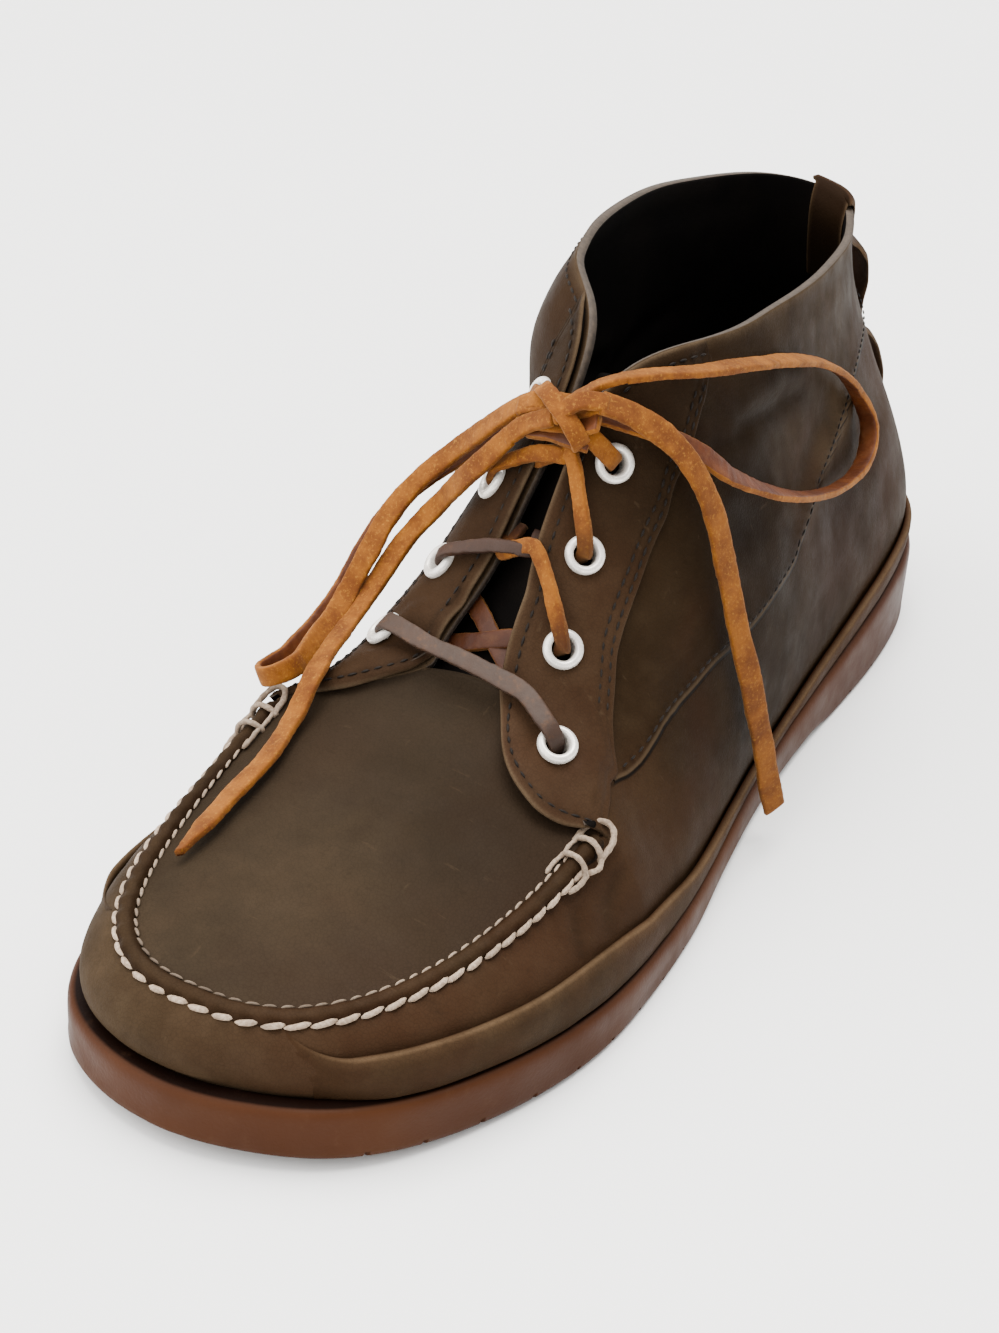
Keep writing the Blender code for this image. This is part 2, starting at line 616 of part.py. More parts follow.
def build_tongue():
    """Inner sheet that follows the underside of both facings and bridges between them."""
    verts, faces = [], []
    for f, drop, drop_mid, v0, v1 in TONGUE:
        row = []
        for side in (1, -1):
            u = edge_u(side, min(f, 201.4))
            v = np.linspace(v0, v1, 3)
            p = wrap(np.full(3, u), v) - skin_normal(np.full(3, u), v) * drop
            p[:, 1] += max(0.0, f - 201.4)
            p[:, 2] -= 0.55 * max(0.0, f - 201.4)
            row += list(p if side > 0 else p[::-1])
        mid = (row[2] + row[3]) / 2 + np.array([0, 0.6, 0.8]) * (0.06 * np.linalg.norm(row[2] - row[3]) - drop_mid)
        verts += row[:3] + [mid] + row[3:]
    m = 7
    for i in range(len(TONGUE) - 1):
        for j in range(m - 1):
            faces.append((i * m + j, i * m + j + 1, (i + 1) * m + j + 1, (i + 1) * m + j))
    ob = add("tongue", np.array(verts), faces, LINING, outward=((0, 182, 67), (0, 0.6, 0.8)))
    mod = ob.modifiers.new("thickness", "SOLIDIFY")
    mod.thickness, mod.offset = TONGUE_THICK * MM, -1.0
    return ob


def build_rand():
    """A proud strip sewn round the foot of the wall, rounded off behind the toe on both sides."""
    u0, u1 = u_of(1, 296.0), u_of(-1, 296.0)
    inside = [u for u in U if u < u0 - 0.004] + [u0 - 0.004]
    other = [u1 + 0.004] + [u for u in U if u > u1 + 0.004]
    us = np.array([u1] + other + inside + [u0])
    length = 2.0 * (L + 90)
    rings = []
    vv = np.linspace(0, 1, 240)
    for u in us:
        g = wrap(np.full(240, u), vv)
        arc = np.r_[0, np.cumsum(np.linalg.norm(np.diff(g, axis=0), axis=1))]
        near = min(abs(u - u0), abs(u - u1)) * length
        t = min(near / 7.0, 1.0)
        h = float(rand_height(g[0, 1])) * (0.22 + 0.78 * math.sqrt(max(0.0, 1 - (1 - t)**2)))
        lift = 0.25 * float(rand_height(g[0, 1])) * (1 - t)
        _, flat = outline(np.array([u])); flat = np.array([flat[0, 0], flat[0, 1], 0.0])
        ring = []
        for share, off in ((0, 0.6), (0.5, 0.65), (1, 0.6), (0.93, 2.3), (0.5, 2.5), (0, 2.5)):
            a = share * h + (lift if share > 0 else 0)
            p = np.array([np.interp(a, arc, g[:, c]) for c in range(3)])
            k = int(np.clip(np.searchsorted(arc, a), 1, 238))
            side = g[k + 1] - g[k - 1]
            across = wrap(u + 1e-3, vv[k]) - wrap(u - 1e-3, vv[k])
            n = np.cross(np.asarray(across, float).reshape(3), side)
            n = n / np.linalg.norm(n)
            q = p + (flat if share == 0 else n) * off
            if share == 0:
                q[2] = sole_top(q[1]) + GAP + 0.05
            ring.append(q)
        rings.append(ring)
    verts, faces = loft(rings)
    return add("rand", verts, faces, STRIP)


def back_wall():
    """Dense rows of the heel's outer face, for reading f at an (x, z)."""
    us = np.r_[np.linspace(-0.06, 0.06, 61)] % 1.0
    v = np.linspace(0, 1, 120)
    return np.array([wrap(np.full(120, u), v) for u in us])


BACK = back_wall()


def back_at(x, z):
    """Outer face of the heel: f at a place across and a height (clamped to the rim)."""
    xs, fs = [], []
    for row in BACK:
        zz = min(z, row[-1, 2] - 0.5)
        xs.append(np.interp(zz, row[:, 2], row[:, 0]))
        fs.append(np.interp(zz, row[:, 2], row[:, 1]))
    o = np.argsort(xs)
    return float(np.interp(x, np.array(xs)[o], np.array(fs)[o]))


def rim_at(x):
    """Height of the collar's rim at a place across the heel."""
    o = np.argsort(BACK[:, -1, 0])
    return float(np.interp(x, BACK[o, -1, 0], BACK[o, -1, 2]))


def build_pull():
    t = np.array(PULL)
    k = np.linspace(0, 1, len(t))
    kk = np.linspace(0, 1, len(t) + 10)
    zs, behind = pchip(k, t[:, 0], kk), pchip(k, t[:, 1], kk)
    rings = []
    lines = []
    for i in range(len(kk)):
        xc = LEAN * (zs[i] - 20)
        w = PULL_HALF if zs[i] > 46 else PULL_HALF - 3.0
        if zs[i] > 93 or behind[i] < 0:             # the rim turns sharply on the outer side
            w, xc = PULL_HALF - 1.8, xc - 2.6
        row = []
        for a in (-1, -0.5, 0, 0.5, 1):
            x = xc + a * w
            lift = (rim_at(x) - 105.0) * min(1.0, max(0.0, (zs[i] - 92.0) / 10.0))
            row.append((x, back_at(x, zs[i]) - behind[i], zs[i] + lift))
        lines.append(row)
    lines = np.array(lines)
    for i in range(len(lines)):
        a, b = lines[max(i - 1, 0)], lines[min(i + 1, len(lines) - 1)]
        d = unit(b - a)
        n = unit(np.cross(d, np.array([1.0, 0, 0]))) * PULL_THICK / 2
        rings.append(np.vstack([lines[i] + n, (lines[i] - n)[::-1]]))
    verts, faces = loft(rings)
    return add("heel_pull", verts, faces, STRIP)


def stay_columns(side):
    rows = [r for r in STAYS if r[0] == side]
    out = []
    for i in range(len(rows)):
        out.append((float(_us[NAMES.index(rows[i][1])]), rows[i][2], rows[i][3], 0.0))
        if i + 1 < len(rows):
            ua, ub = out[-1][0], float(_us[NAMES.index(rows[i + 1][1])])
            va, vb = rows[i][2], rows[i + 1][2]
            la, lb = rows[i][3], rows[i + 1][3]
            um = (ua + ub) / 2
            if la and lb:
                lobe = tuple((np.array(la) + np.array(lb)) / 2)
                # keep the lobe's rim round: push the midpoint out
                e = wrap(um, 1.0)
                m = np.array(lobe)
                d = m - np.asarray(e, float).reshape(3)
                lobe = tuple(m + 0.12 * d)
            else:
                lobe = None
            out.append((um, (va + vb) / 2, lobe, 0.0))
    return out


STAY_ACROSS = 7


def stay_base(side):
    """Underside of a stay: a grid of points, columns along the facing and rows towards its free edge."""
    grid = []
    for u, v0, lobe, _ in stay_columns(side):
        v = np.linspace(v0, 1.0, 40)
        p = wrap(np.full(40, u), v)
        n = skin_normal(np.full(40, u), np.minimum(v, 0.985))
        line = p + n * STAY_GAP
        if lobe is not None:
            line = np.vstack([line, np.array(lobe, float) - n[-1] * STAY_THICK])
        arc = np.r_[0, np.cumsum(np.linalg.norm(np.diff(line, axis=0), axis=1))]
        at = np.linspace(0, arc[-1], STAY_ACROSS)
        grid.append(np.stack([np.interp(at, arc, line[:, c]) for c in range(3)], 1))
    return np.array(grid)


def build_stay(side):
    grid = stay_base(side)
    n, m, _ = grid.shape
    faces = [(i * m + j, i * m + j + 1, (i + 1) * m + j + 1, (i + 1) * m + j) for i in range(n - 1) for j in range(m - 1)]
    ob = add("eyestay_out" if side > 0 else "eyestay_in", grid.reshape(-1, 3), faces, LEATHER,
             outward=((16 * side, 187, 72), (0.5 * side, 0.3, 0.8)))
    mod = ob.modifiers.new("thickness", "SOLIDIFY")
    mod.thickness, mod.offset = STAY_THICK * MM, 1.0
    return ob


def stay_normal(side, place):
    """Outward normal of the stay near a place, from its own grid."""
    g = stay_base(side)
    i, j = np.unravel_index(np.argmin(np.linalg.norm(g - np.array(place), axis=2)), g.shape[:2])
    i, j = int(np.clip(i, 1, g.shape[0] - 2)), int(np.clip(j, 1, g.shape[1] - 2))
    n = np.cross(g[i + 1, j] - g[i - 1, j], g[i, j + 1] - g[i, j - 1])
    n = n / np.linalg.norm(n)
    if n[2] < 0:
        n = -n
    return n, g


def on_stay(side, place):
    """The place moved along the normal onto the stay's outer face, with the normal."""
    n, g = stay_normal(side, place)
    place = np.array(place, float)
    flat = g.reshape(-1, 3)
    w = 1.0 / (np.linalg.norm(flat - place, axis=1)**4 + 1e-6)
    near = (flat * w[:, None]).sum(0) / w.sum()
    height = float(np.dot(place - near, n))
    return place + n * (STAY_THICK - height), n


def turned(name, profile, centre, axis, mat, sides=12):
    """A ring turned from a closed (radius, height) profile about an axis."""
    axis = np.asarray(axis, float)
    x = np.cross(axis, np.array([0.0, 1.0, 0.0])); x = x / np.linalg.norm(x)
    y = np.cross(axis, x)
    verts, faces = [], []
    m = len(profile)
    for k in range(sides):
        t = 2 * math.pi * k / sides
        d = x * math.cos(t) + y * math.sin(t)
        verts += [np.asarray(centre) + d * r + axis * h for r, h in profile]
    for k in range(sides):
        a, b = k * m, ((k + 1) % sides) * m
        faces += [(a + i, a + (i + 1) % m, b + (i + 1) % m, b + i) for i in range(m)]
    return add(name, np.array(verts), faces, mat)


def rod(name, a, b, r, sides=12):
    a, b = np.asarray(a, float), np.asarray(b, float)
    axis = unit(b - a)
    x = unit(np.cross(axis, np.array([0.0, 1.0, 0.0])))
    y = np.cross(axis, x)
    ring = np.array([x * math.cos(t) + y * math.sin(t) for t in np.linspace(0, 2 * math.pi, sides, endpoint=False)]) * r
    verts, faces = loft([a + ring, b + ring])
    return add(name, verts, faces)


EYELET_AT = {}


def build_eyelets(parts):
    e = EYELET
    cutters = []
    for name, side, x, f, z in EYELETS:
        c, n = on_stay(side, (x, f, z))
        EYELET_AT[name] = (c, n)
        g = e["lift"]
        profile = [(e["hole"], -e["depth"]), (e["barrel"], -e["depth"]), (e["barrel"], g), (e["flange"], g),
                   (3.6, g + e["rise"]), (e["hole"], g + 0.3)]
        turned(name, profile, c, n, METAL)
        cutters.append(rod("hole_" + name, c - n * 9, c + n * 5, e["clear"]))
    for ob, label in parts:
        m = ob.modifiers.new("eyelet_holes", "BOOLEAN")
        m.operation, m.operand_type, m.solver = "DIFFERENCE", "COLLECTION", "EXACT"
        m.collection = HOLES
    for x in cutters:
        for old in list(x.users_collection):
            old.objects.unlink(x)
        HOLES.objects.link(x)
        x.hide_render, x.display_type = True, "WIRE"


HOLES = bpy.data.collections.new("eyelet_hole_cutters")
CUTTERS.children.link(HOLES)


# ---------------------------------------------------------------- lacing
LACE_WIDE, LACE_THICK = 4.2, 1.7
LACE_PASS = 0.5      # how far one inside strand lies below the other where they cross
ABOVE = dict(eyelet=EYELET["lift"] + EYELET["rise"] + 0.45 + LACE_THICK / 2, edge=STAY_GAP + STAY_THICK + 1.1 + LACE_THICK / 2)
BELOW = dict(eyelet=STAY_GAP + STAY_THICK + WALL + 0.6 + LACE_THICK / 2, edge=WALL + 0.8 + LACE_THICK / 2)


def facing_edge(side, f):
    u = edge_u(side, f)
    p = np.asarray(wrap(u, 1.0), float).reshape(3)
    n = np.asarray(skin_normal(np.array([u]), np.array([0.96])), float).reshape(3)
    return p, n


def edge_crossing(a, b, side):
    """Where the straight way between two places passes over a facing's edge."""
    best = None
    for t in np.linspace(0.02, 0.98, 97):
        q = a * (1 - t) + b * t
        p, n = facing_edge(side, float(np.clip(q[1], 154, 201)))
        d = abs(q[0] - p[0])
        if best is None or d < best[0]:
            best = (d, p, n)
    return best[1], best[2]


def ribbon(name, points, normals, mat=LACE, where=None, wide=LACE_WIDE, thick=LACE_THICK, count=13):
    points, normals = np.array(points, float), np.array(normals, float)
    arc = np.r_[0, np.cumsum(np.linalg.norm(np.diff(points, axis=0), axis=1))]
    at = np.linspace(0, arc[-1], count)
    p = np.stack([pchip(arc, points[:, c], at) for c in range(3)], 1)
    n = unit(np.stack([np.interp(at, arc, normals[:, c]) for c in range(3)], 1))
    rings = []
    for i in range(count):
        d = unit(p[min(i + 1, count - 1)] - p[max(i - 1, 0)])
        w = unit(np.cross(d, n[i])) * wide / 2
        h = unit(np.cross(w, d)) * thick / 2
        if np.dot(h, n[i]) < 0:
            h = -h
        rings.append([p[i] - w - h, p[i] + w - h, p[i] + w + h, p[i] - w + h])
    verts, faces = loft(rings)
    return add(name, verts, faces, mat, where)


def under(a, b, side_a, deeper=0.0):
    """Route inside the boot from eyelet a to eyelet b, below both facings."""
    (ca, na), (cb, nb) = EYELET_AT[a], EYELET_AT[b]
    ea, ma = edge_crossing(ca, cb, side_a)
    eb, mb = edge_crossing(ca, cb, -side_a)
    low = np.array([0.0, 0.6, 0.8]) * deeper
    return [ca - na * BELOW["eyelet"], ea - ma * (BELOW["edge"] + 0.25) - low, eb - mb * (BELOW["edge"] + 0.25) - low, cb - nb * BELOW["eyelet"]], [na, ma, mb, nb]


def over(a, next_b, side_a, meet, meet_n):
    """Route outside, from eyelet a over its facing's edge to the place where the two strands meet."""
    (ca, na), (cb, _) = EYELET_AT[a], EYELET_AT[next_b]
    ea, ma = edge_crossing(ca, cb, side_a)
    up = ea + ma * ABOVE["edge"]
    past = meet + unit(meet - up) * 1.6
    return [*leaving(ca, na, up), up, meet, past], [na, na, ma, meet_n, meet_n]


def leaving(centre, n, towards):
    """Two points over an eyelet: its middle, and clear of its rim on the way to the next point."""
    d = towards - centre
    d = unit(d - n * np.dot(d, n))
    top = centre + n * ABOVE["eyelet"]
    return top, top + d * 5.6


CROSSINGS = [
    # name,         outer side from, to,         inner side from, to,          inside the boot
    ("lace_cross_1", "eyelet_out_4", "eyelet_in_3", "eyelet_in_4", "eyelet_out_3", True),
    ("lace_cross_2", "eyelet_out_3", "eyelet_in_2", "eyelet_in_3", "eyelet_out_2", False),
    ("lace_cross_3", "eyelet_out_2", "eyelet_in_1", "eyelet_in_2", "eyelet_out_1", False),
]


def build_lacing():
    for name, a, b, c, d, inside in CROSSINGS:
        if inside:
            first, second = under(a, b, 1), under(c, d, -1, LACE_PASS)
        else:
            ea, ma = edge_crossing(EYELET_AT[a][0], EYELET_AT[b][0], 1)
            eb, mb = edge_crossing(EYELET_AT[c][0], EYELET_AT[d][0], -1)
            n = unit(ma + mb)
            meet = (ea + eb) / 2 + n * (ABOVE["edge"] - 0.6)
            first, second = over(a, b, 1, meet, n), over(c, d, -1, meet, n)
        one = ribbon(name, *first)
        other = ribbon(name + "_other", *second, where=CUTTERS)
        other.hide_render, other.display_type = True, "WIRE"
        m = one.modifiers.new("crossing", "BOOLEAN")
        m.operation, m.solver, m.object = "UNION", "EXACT", other
    (ca, na), (cb, nb) = EYELET_AT["eyelet_in_4"], EYELET_AT["eyelet_out_4"]
    (ea, ma), (eb, mb) = edge_crossing(ca, cb, -1), edge_crossing(ca, cb, 1)
    over_a, over_b = ea + ma * (ABOVE["edge"] + 0.6), eb + mb * (ABOVE["edge"] + 0.6)
    ribbon("lace_bar", [*leaving(ca, na, over_a), over_a, over_b, *leaving(cb, nb, over_b)[::-1]], [na, na, ma, mb, nb, nb], count=13)
    build_bow()


KNOT = dict(at=(0.5, 170.4, 102.8), half=(7.6, 5.4, 3.9))
CORD = 1.6           # radius of the bow's plain tubes
# the bow's routes, from the knot outwards
ROUTES = {
    "lace_loop_out": [
        # x,    f,     z
        (10.4, 162.0, 111.6), (14.3, 157.9, 111.9), (21.1, 145.4, 110.2), (25.8, 127.3, 106.7), (26.8, 102.0, 98.5),
        (26.8, 82.0, 88.8), (27.2, 67.8, 77.9), (29.2, 62.4, 68.4), (31.6, 67.6, 63.1), (33.4, 80.8, 62.4),
        (34.7, 101.0, 67.1), (35.5, 122.5, 75.5), (33.5, 136.0, 82.1), (30.4, 145.9, 88.2), (25.8, 152.7, 94.6),
        (19.2, 158.6, 99.6), (11.9, 163.4, 102.4),
    ],
    "lace_end_out": [
        (9.6, 170.0, 108.6), (15.5, 165.5, 105.6), (22.2, 161.6, 100.2), (27.9, 158.6, 92.7), (31.8, 156.3, 82.8),
        (35.1, 155.1, 71.6), (37.7, 154.5, 62.1), (40.5, 153.2, 52.2), (43.5, 151.0, 39.9), (46.1, 147.4, 24.7), (48.6, 143.6, 9.2),
    ],
    "lace_loop_in": [
        (-9.6, 168.6, 102.4), (-18.7, 167.7, 93.8), (-26.8, 167.3, 85.2), (-33.1, 170.4, 78.0), (-36.7, 175.5, 70.8),
        (-38.2, 182.6, 62.7), (-38.8, 190.4, 55.0), (-38.6, 202.0, 51.4), (-38.0, 211.0, 49.0), (-39.2, 215.6, 46.8),
        (-43.0, 213.2, 45.6), (-43.8, 203.0, 46.6), (-43.0, 190.6, 50.2), (-41.8, 181.6, 57.6), (-40.0, 173.6, 66.2),
        (-36.4, 167.6, 73.6), (-29.8, 163.6, 80.6), (-21.0, 163.2, 89.2), (-12.4, 165.0, 96.6),
    ],
    "lace_end_in": [
        (-10.0, 172.6, 96.4), (-18.2, 174.2, 85.9), (-27.0, 171.6, 74.6), (-32.3, 177.4, 65.4), (-34.6, 184.4, 57.8),
        (-34.9, 191.8, 53.6), (-33.4, 203.0, 51.6), (-31.4, 214.0, 49.4), (-30.2, 222.0, 44.6), (-28.6, 235.0, 41.6),
        (-28.9, 246.6, 39.0), (-28.7, 256.7, 37.2), (-28.4, 265.3, 35.6),
    ],
}


def build_bow():
    """The bow: a knot and four plain tubes, each its own piece."""
    t = np.linspace(0, math.pi, 7)[1:-1]
    normal = unit(np.array([0.0, 0.6, 0.8]))
    slope = unit(np.array([0.0, 0.8, -0.6]))
    c = np.array(KNOT["at"])
    rx, rs, rn = KNOT["half"]
    rings = []
    for a in t:
        ring = [c + np.array([1.0, 0, 0]) * rx * math.cos(a) + (slope * rs * math.cos(b) + normal * rn * math.sin(b)) * math.sin(a)
                for b in np.linspace(0, 2 * math.pi, 10, endpoint=False)]
        rings.append(ring)
    verts, faces = loft(rings)
    add("lace_knot", verts, faces, LACE)
    for name, route in ROUTES.items():
        p = np.array(route, float)
        arc = np.r_[0, np.cumsum(np.linalg.norm(np.diff(p, axis=0), axis=1))]
        count = max(8, int(arc[-1] / 8.5) + 1)
        at = np.linspace(0, arc[-1], count)
        # smooth curve through the table's points
        m = np.zeros_like(p)
        m[1:-1] = (p[2:] - p[:-2]) / (arc[2:] - arc[:-2])[:, None]
        m[0], m[-1] = (p[1] - p[0]) / arc[1], (p[-1] - p[-2]) / (arc[-1] - arc[-2])
        k = np.clip(np.searchsorted(arc, at, side="right") - 1, 0, len(p) - 2)
        h = (arc[k + 1] - arc[k])[:, None]
        s = ((at - arc[k]) / h[:, 0])[:, None]
        q = (2 * s**3 - 3 * s**2 + 1) * p[k] + (s**3 - 2 * s**2 + s) * h * m[k] + (3 * s**2 - 2 * s**3) * p[k + 1] + (s**3 - s**2) * h * m[k + 1]
        curve = bpy.data.curves.new(name, "CURVE")
        curve.dimensions = "3D"
        curve.bevel_depth, curve.bevel_resolution, curve.use_fill_caps = CORD * MM, 2, True
        line = curve.splines.new("POLY")
        line.points.add(len(q) - 1)
        for point, place in zip(line.points, world(q)):
            point.co = (*place, 1.0)
        curve.materials.append(LACE)
        BOOT.objects.link(bpy.data.objects.new(name, curve))


sole = build_sole()
build_tread(sole)
build_insole()
upper = build_upper()
build_tongue()
build_rand()
build_pull()
stay_out, stay_in = build_stay(1), build_stay(-1)
build_eyelets([(upper, "upper"), (stay_out, "out"), (stay_in, "in")])
build_lacing()
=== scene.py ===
"""Chukka boot: the fine model, its materials, floor, light and camera. Lengths in tables are millimetres:
x outwards, f forwards from the heel, z up. world() turns them into the model's frame."""
import math

import bmesh
import bpy
import numpy as np
from mathutils import Matrix, Vector

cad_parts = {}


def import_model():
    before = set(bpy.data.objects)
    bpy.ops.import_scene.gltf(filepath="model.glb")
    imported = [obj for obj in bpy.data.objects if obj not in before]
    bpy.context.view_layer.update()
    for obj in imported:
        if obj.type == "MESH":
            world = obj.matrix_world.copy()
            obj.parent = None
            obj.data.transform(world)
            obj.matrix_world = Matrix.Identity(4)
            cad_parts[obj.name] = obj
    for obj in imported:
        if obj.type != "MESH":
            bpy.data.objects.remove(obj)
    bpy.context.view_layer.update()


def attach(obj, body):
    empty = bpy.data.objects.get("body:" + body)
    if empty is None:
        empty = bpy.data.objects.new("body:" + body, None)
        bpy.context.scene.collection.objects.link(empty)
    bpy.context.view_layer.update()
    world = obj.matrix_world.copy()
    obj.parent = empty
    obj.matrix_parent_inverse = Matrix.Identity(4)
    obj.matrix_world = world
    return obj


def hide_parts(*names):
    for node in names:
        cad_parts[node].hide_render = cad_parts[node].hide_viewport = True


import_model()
MM = 0.001

# ---------------------------------------------------------------- named sizes, millimetres
L = 305.0            # outsole length
TOE_SPRING = 3.6     # rise of the sole's lower edge at the toe
SPRING_FROM = 0.68   # share of the length where the toe starts to rise
ARCH_RISE = 1.6      # hollow under the waist
WALL = 2.0           # upper leather and lining together
RIDGE = 3.0          # half width of the raised moc seam

# outsole outline: share of the length from the heel, inner edge, outer edge
OUTLINE = [
    # t,     medial, lateral
    (0.000,  -1.0,   1.0),
    (0.008, -12.0,  12.0),
    (0.030, -21.5,  22.0),
    (0.070, -29.5,  30.5),
    (0.130, -34.5,  35.5),
    (0.200, -36.3,  37.7),
    (0.300, -35.2,  38.6),
    (0.400, -33.6,  40.4),
    (0.500, -35.2,  44.5),
    (0.600, -41.2,  50.0),
    (0.700, -48.0,  53.0),
    (0.760, -50.5,  53.0),
    (0.820, -49.6,  50.0),
    (0.880, -46.7,  43.8),
    (0.930, -41.6,  35.6),
    (0.965, -34.0,  25.6),
    (0.988, -23.0,  12.4),
    (1.000,  -6.0,  -4.0),
]
# sole top and rand by distance from the heel
SOLE = [
    # F,   sole_top, seat (inset of the upper), rand height along the wall
    (0,    21.5, 4.2, 7.2),
    (30,   20.5, 4.2, 7.4),
    (60,   17.6, 4.2, 7.2),
    (90,   13.6, 4.0, 6.2),
    (120,  10.8, 3.8, 4.8),
    (150,   9.3, 3.7, 4.5),
    (180,   8.8, 3.9, 5.6),
    (210,   9.6, 4.2, 8.2),
    (240,  11.6, 4.2, 9.2),
    (270,  13.0, 4.2, 9.2),
    (295,  14.4, 4.4, 9.0),
    (305,  14.8, 4.6, 8.8),
]

def pchip(xs, ys, x):
    """Monotone cubic through the rows of a table."""
    xs = np.asarray(xs, float); ys = np.asarray(ys, float); x = np.clip(np.asarray(x, float), xs[0], xs[-1])
    h = np.diff(xs); d = np.diff(ys) / h
    m = np.zeros_like(ys)
    for k in range(1, len(xs) - 1):
        if d[k - 1] * d[k] > 0:
            w1 = 2 * h[k] + h[k - 1]; w2 = h[k] + 2 * h[k - 1]
            m[k] = (w1 + w2) / (w1 / d[k - 1] + w2 / d[k])
    m[0], m[-1] = d[0], d[-1]
    i = np.clip(np.searchsorted(xs, x, side="right") - 1, 0, len(h) - 1)
    t = (x - xs[i]) / h[i]
    return ((2*t**3 - 3*t**2 + 1) * ys[i] + (t**3 - 2*t**2 + t) * h[i] * m[i]
            + (-2*t**3 + 3*t**2) * ys[i + 1] + (t**3 - t**2) * h[i] * m[i + 1])

class Closed:
    """Periodic cubic spline through points, by chord length; parameter 0 to 1."""
    def __init__(self, pts, knots=None):
        p = np.asarray(pts, float); n = len(p)
        q = np.vstack([p, p[:1]])
        if knots is None:
            d = np.r_[0, np.cumsum(np.linalg.norm(np.diff(q, axis=0), axis=1))]
            self.k = d / d[-1]
        else:
            self.k = np.asarray(knots, float)
        h = np.diff(self.k)
        A = np.zeros((n, n)); B = np.zeros((n, p.shape[1]))
        for i in range(n):
            hm, hp = h[i - 1], h[i]
            A[i, i - 1] += hm; A[i, i] += 2 * (hm + hp); A[i, (i + 1) % n] += hp
            B[i] = 6 * ((q[i + 1] - p[i]) / hp - (p[i] - p[i - 1]) / hm)
        self.M = np.linalg.solve(A, B); self.M = np.vstack([self.M, self.M[:1]])
        self.q, self.h = q, h
    def __call__(self, u):
        u = np.mod(np.asarray(u, float), 1.0)
        i = np.clip(np.searchsorted(self.k, u, side="right") - 1, 0, len(self.h) - 1)
        h = self.h[i][..., None]; a = (self.k[i + 1] - u)[..., None] / h; b = (u - self.k[i])[..., None] / h
        return (a * self.q[i] + b * self.q[i + 1]
                + ((a**3 - a) * self.M[i] + (b**3 - b) * self.M[i + 1]) * h * h / 6)

_rows = np.array(OUTLINE)
_lat = np.stack([_rows[:, 2], _rows[:, 0] * L], 1)
_med = np.stack([_rows[:, 1], _rows[:, 0] * L], 1)
OUT = Closed(np.vstack([_lat, _med[::-1]]))     # heel -> lateral -> toe -> medial
_u = np.linspace(0, 1, 4001)[:-1]; _p = OUT(_u)
U_TOE = float(_u[np.argmax(_p[:, 1])])
def u_of(side, F):
    """Perimeter parameter of the point at distance F on one side (+1 lateral, -1 medial)."""
    heel = _u[np.argmin(_p[:, 1])]
    if side > 0:
        sel = (_u >= 0) & (_u <= U_TOE); us, fs = _u[sel], _p[sel, 1]
    else:
        sel = _u >= U_TOE; us, fs = _u[sel][::-1], _p[sel, 1][::-1]
    fs = np.maximum.accumulate(fs)
    fs = fs + np.arange(len(fs)) * 1e-9
    return float(np.interp(F, fs, us))
def outline(u, inset=0.0):
    u = np.asarray(u, float)
    p = OUT(u); t = OUT(u + 1e-4) - OUT(u - 1e-4)
    t /= np.linalg.norm(t, axis=-1)[..., None]
    n = np.stack([t[..., 1], -t[..., 0]], -1)      # outward
    return p - n * np.asarray(inset)[..., None], n
def spring(F):
    k = np.clip((np.asarray(F, float) / L - SPRING_FROM) / (1 - SPRING_FROM), 0, 1)
    return TOE_SPRING * k**2.2
_s = np.array(SOLE)
def sole_top(F): return pchip(_s[:, 0], _s[:, 1], F)
def seat(F): return pchip(_s[:, 0], _s[:, 2], F)
def rand_height(F): return pchip(_s[:, 0], _s[:, 3], F)

# raised moc seam: a squared-off U round the toe
SEAM = dict(apex_x=-3.5, apex_f=295.0, apex_z=29.6, end_f=206.9, end_x=-1.1, half=39.2, power=0.77,
            lateral_z=37.2, medial_z=42.5, rise=2.6, stop=0.985)
def seam(s):
    """s from +1 (lateral end) through 0 (toe) to -1 (medial end)."""
    q = SEAM; th = np.asarray(s, float) * q["stop"] * np.pi / 2
    c = np.abs(np.cos(th))**q["power"]
    x = q["end_x"] + (q["apex_x"] - q["end_x"]) * c + q["half"] * np.sign(th) * np.abs(np.sin(th))**q["power"]
    f = q["end_f"] + (q["apex_f"] - q["end_f"]) * c
    side = 0.5 + 0.5 * np.tanh(2.2 * th)
    ze = q["medial_z"] + (q["lateral_z"] - q["medial_z"]) * side
    z = q["apex_z"] + (ze - q["apex_z"]) * (1 - c)**q["rise"]
    return np.stack([x, f, z], -1)

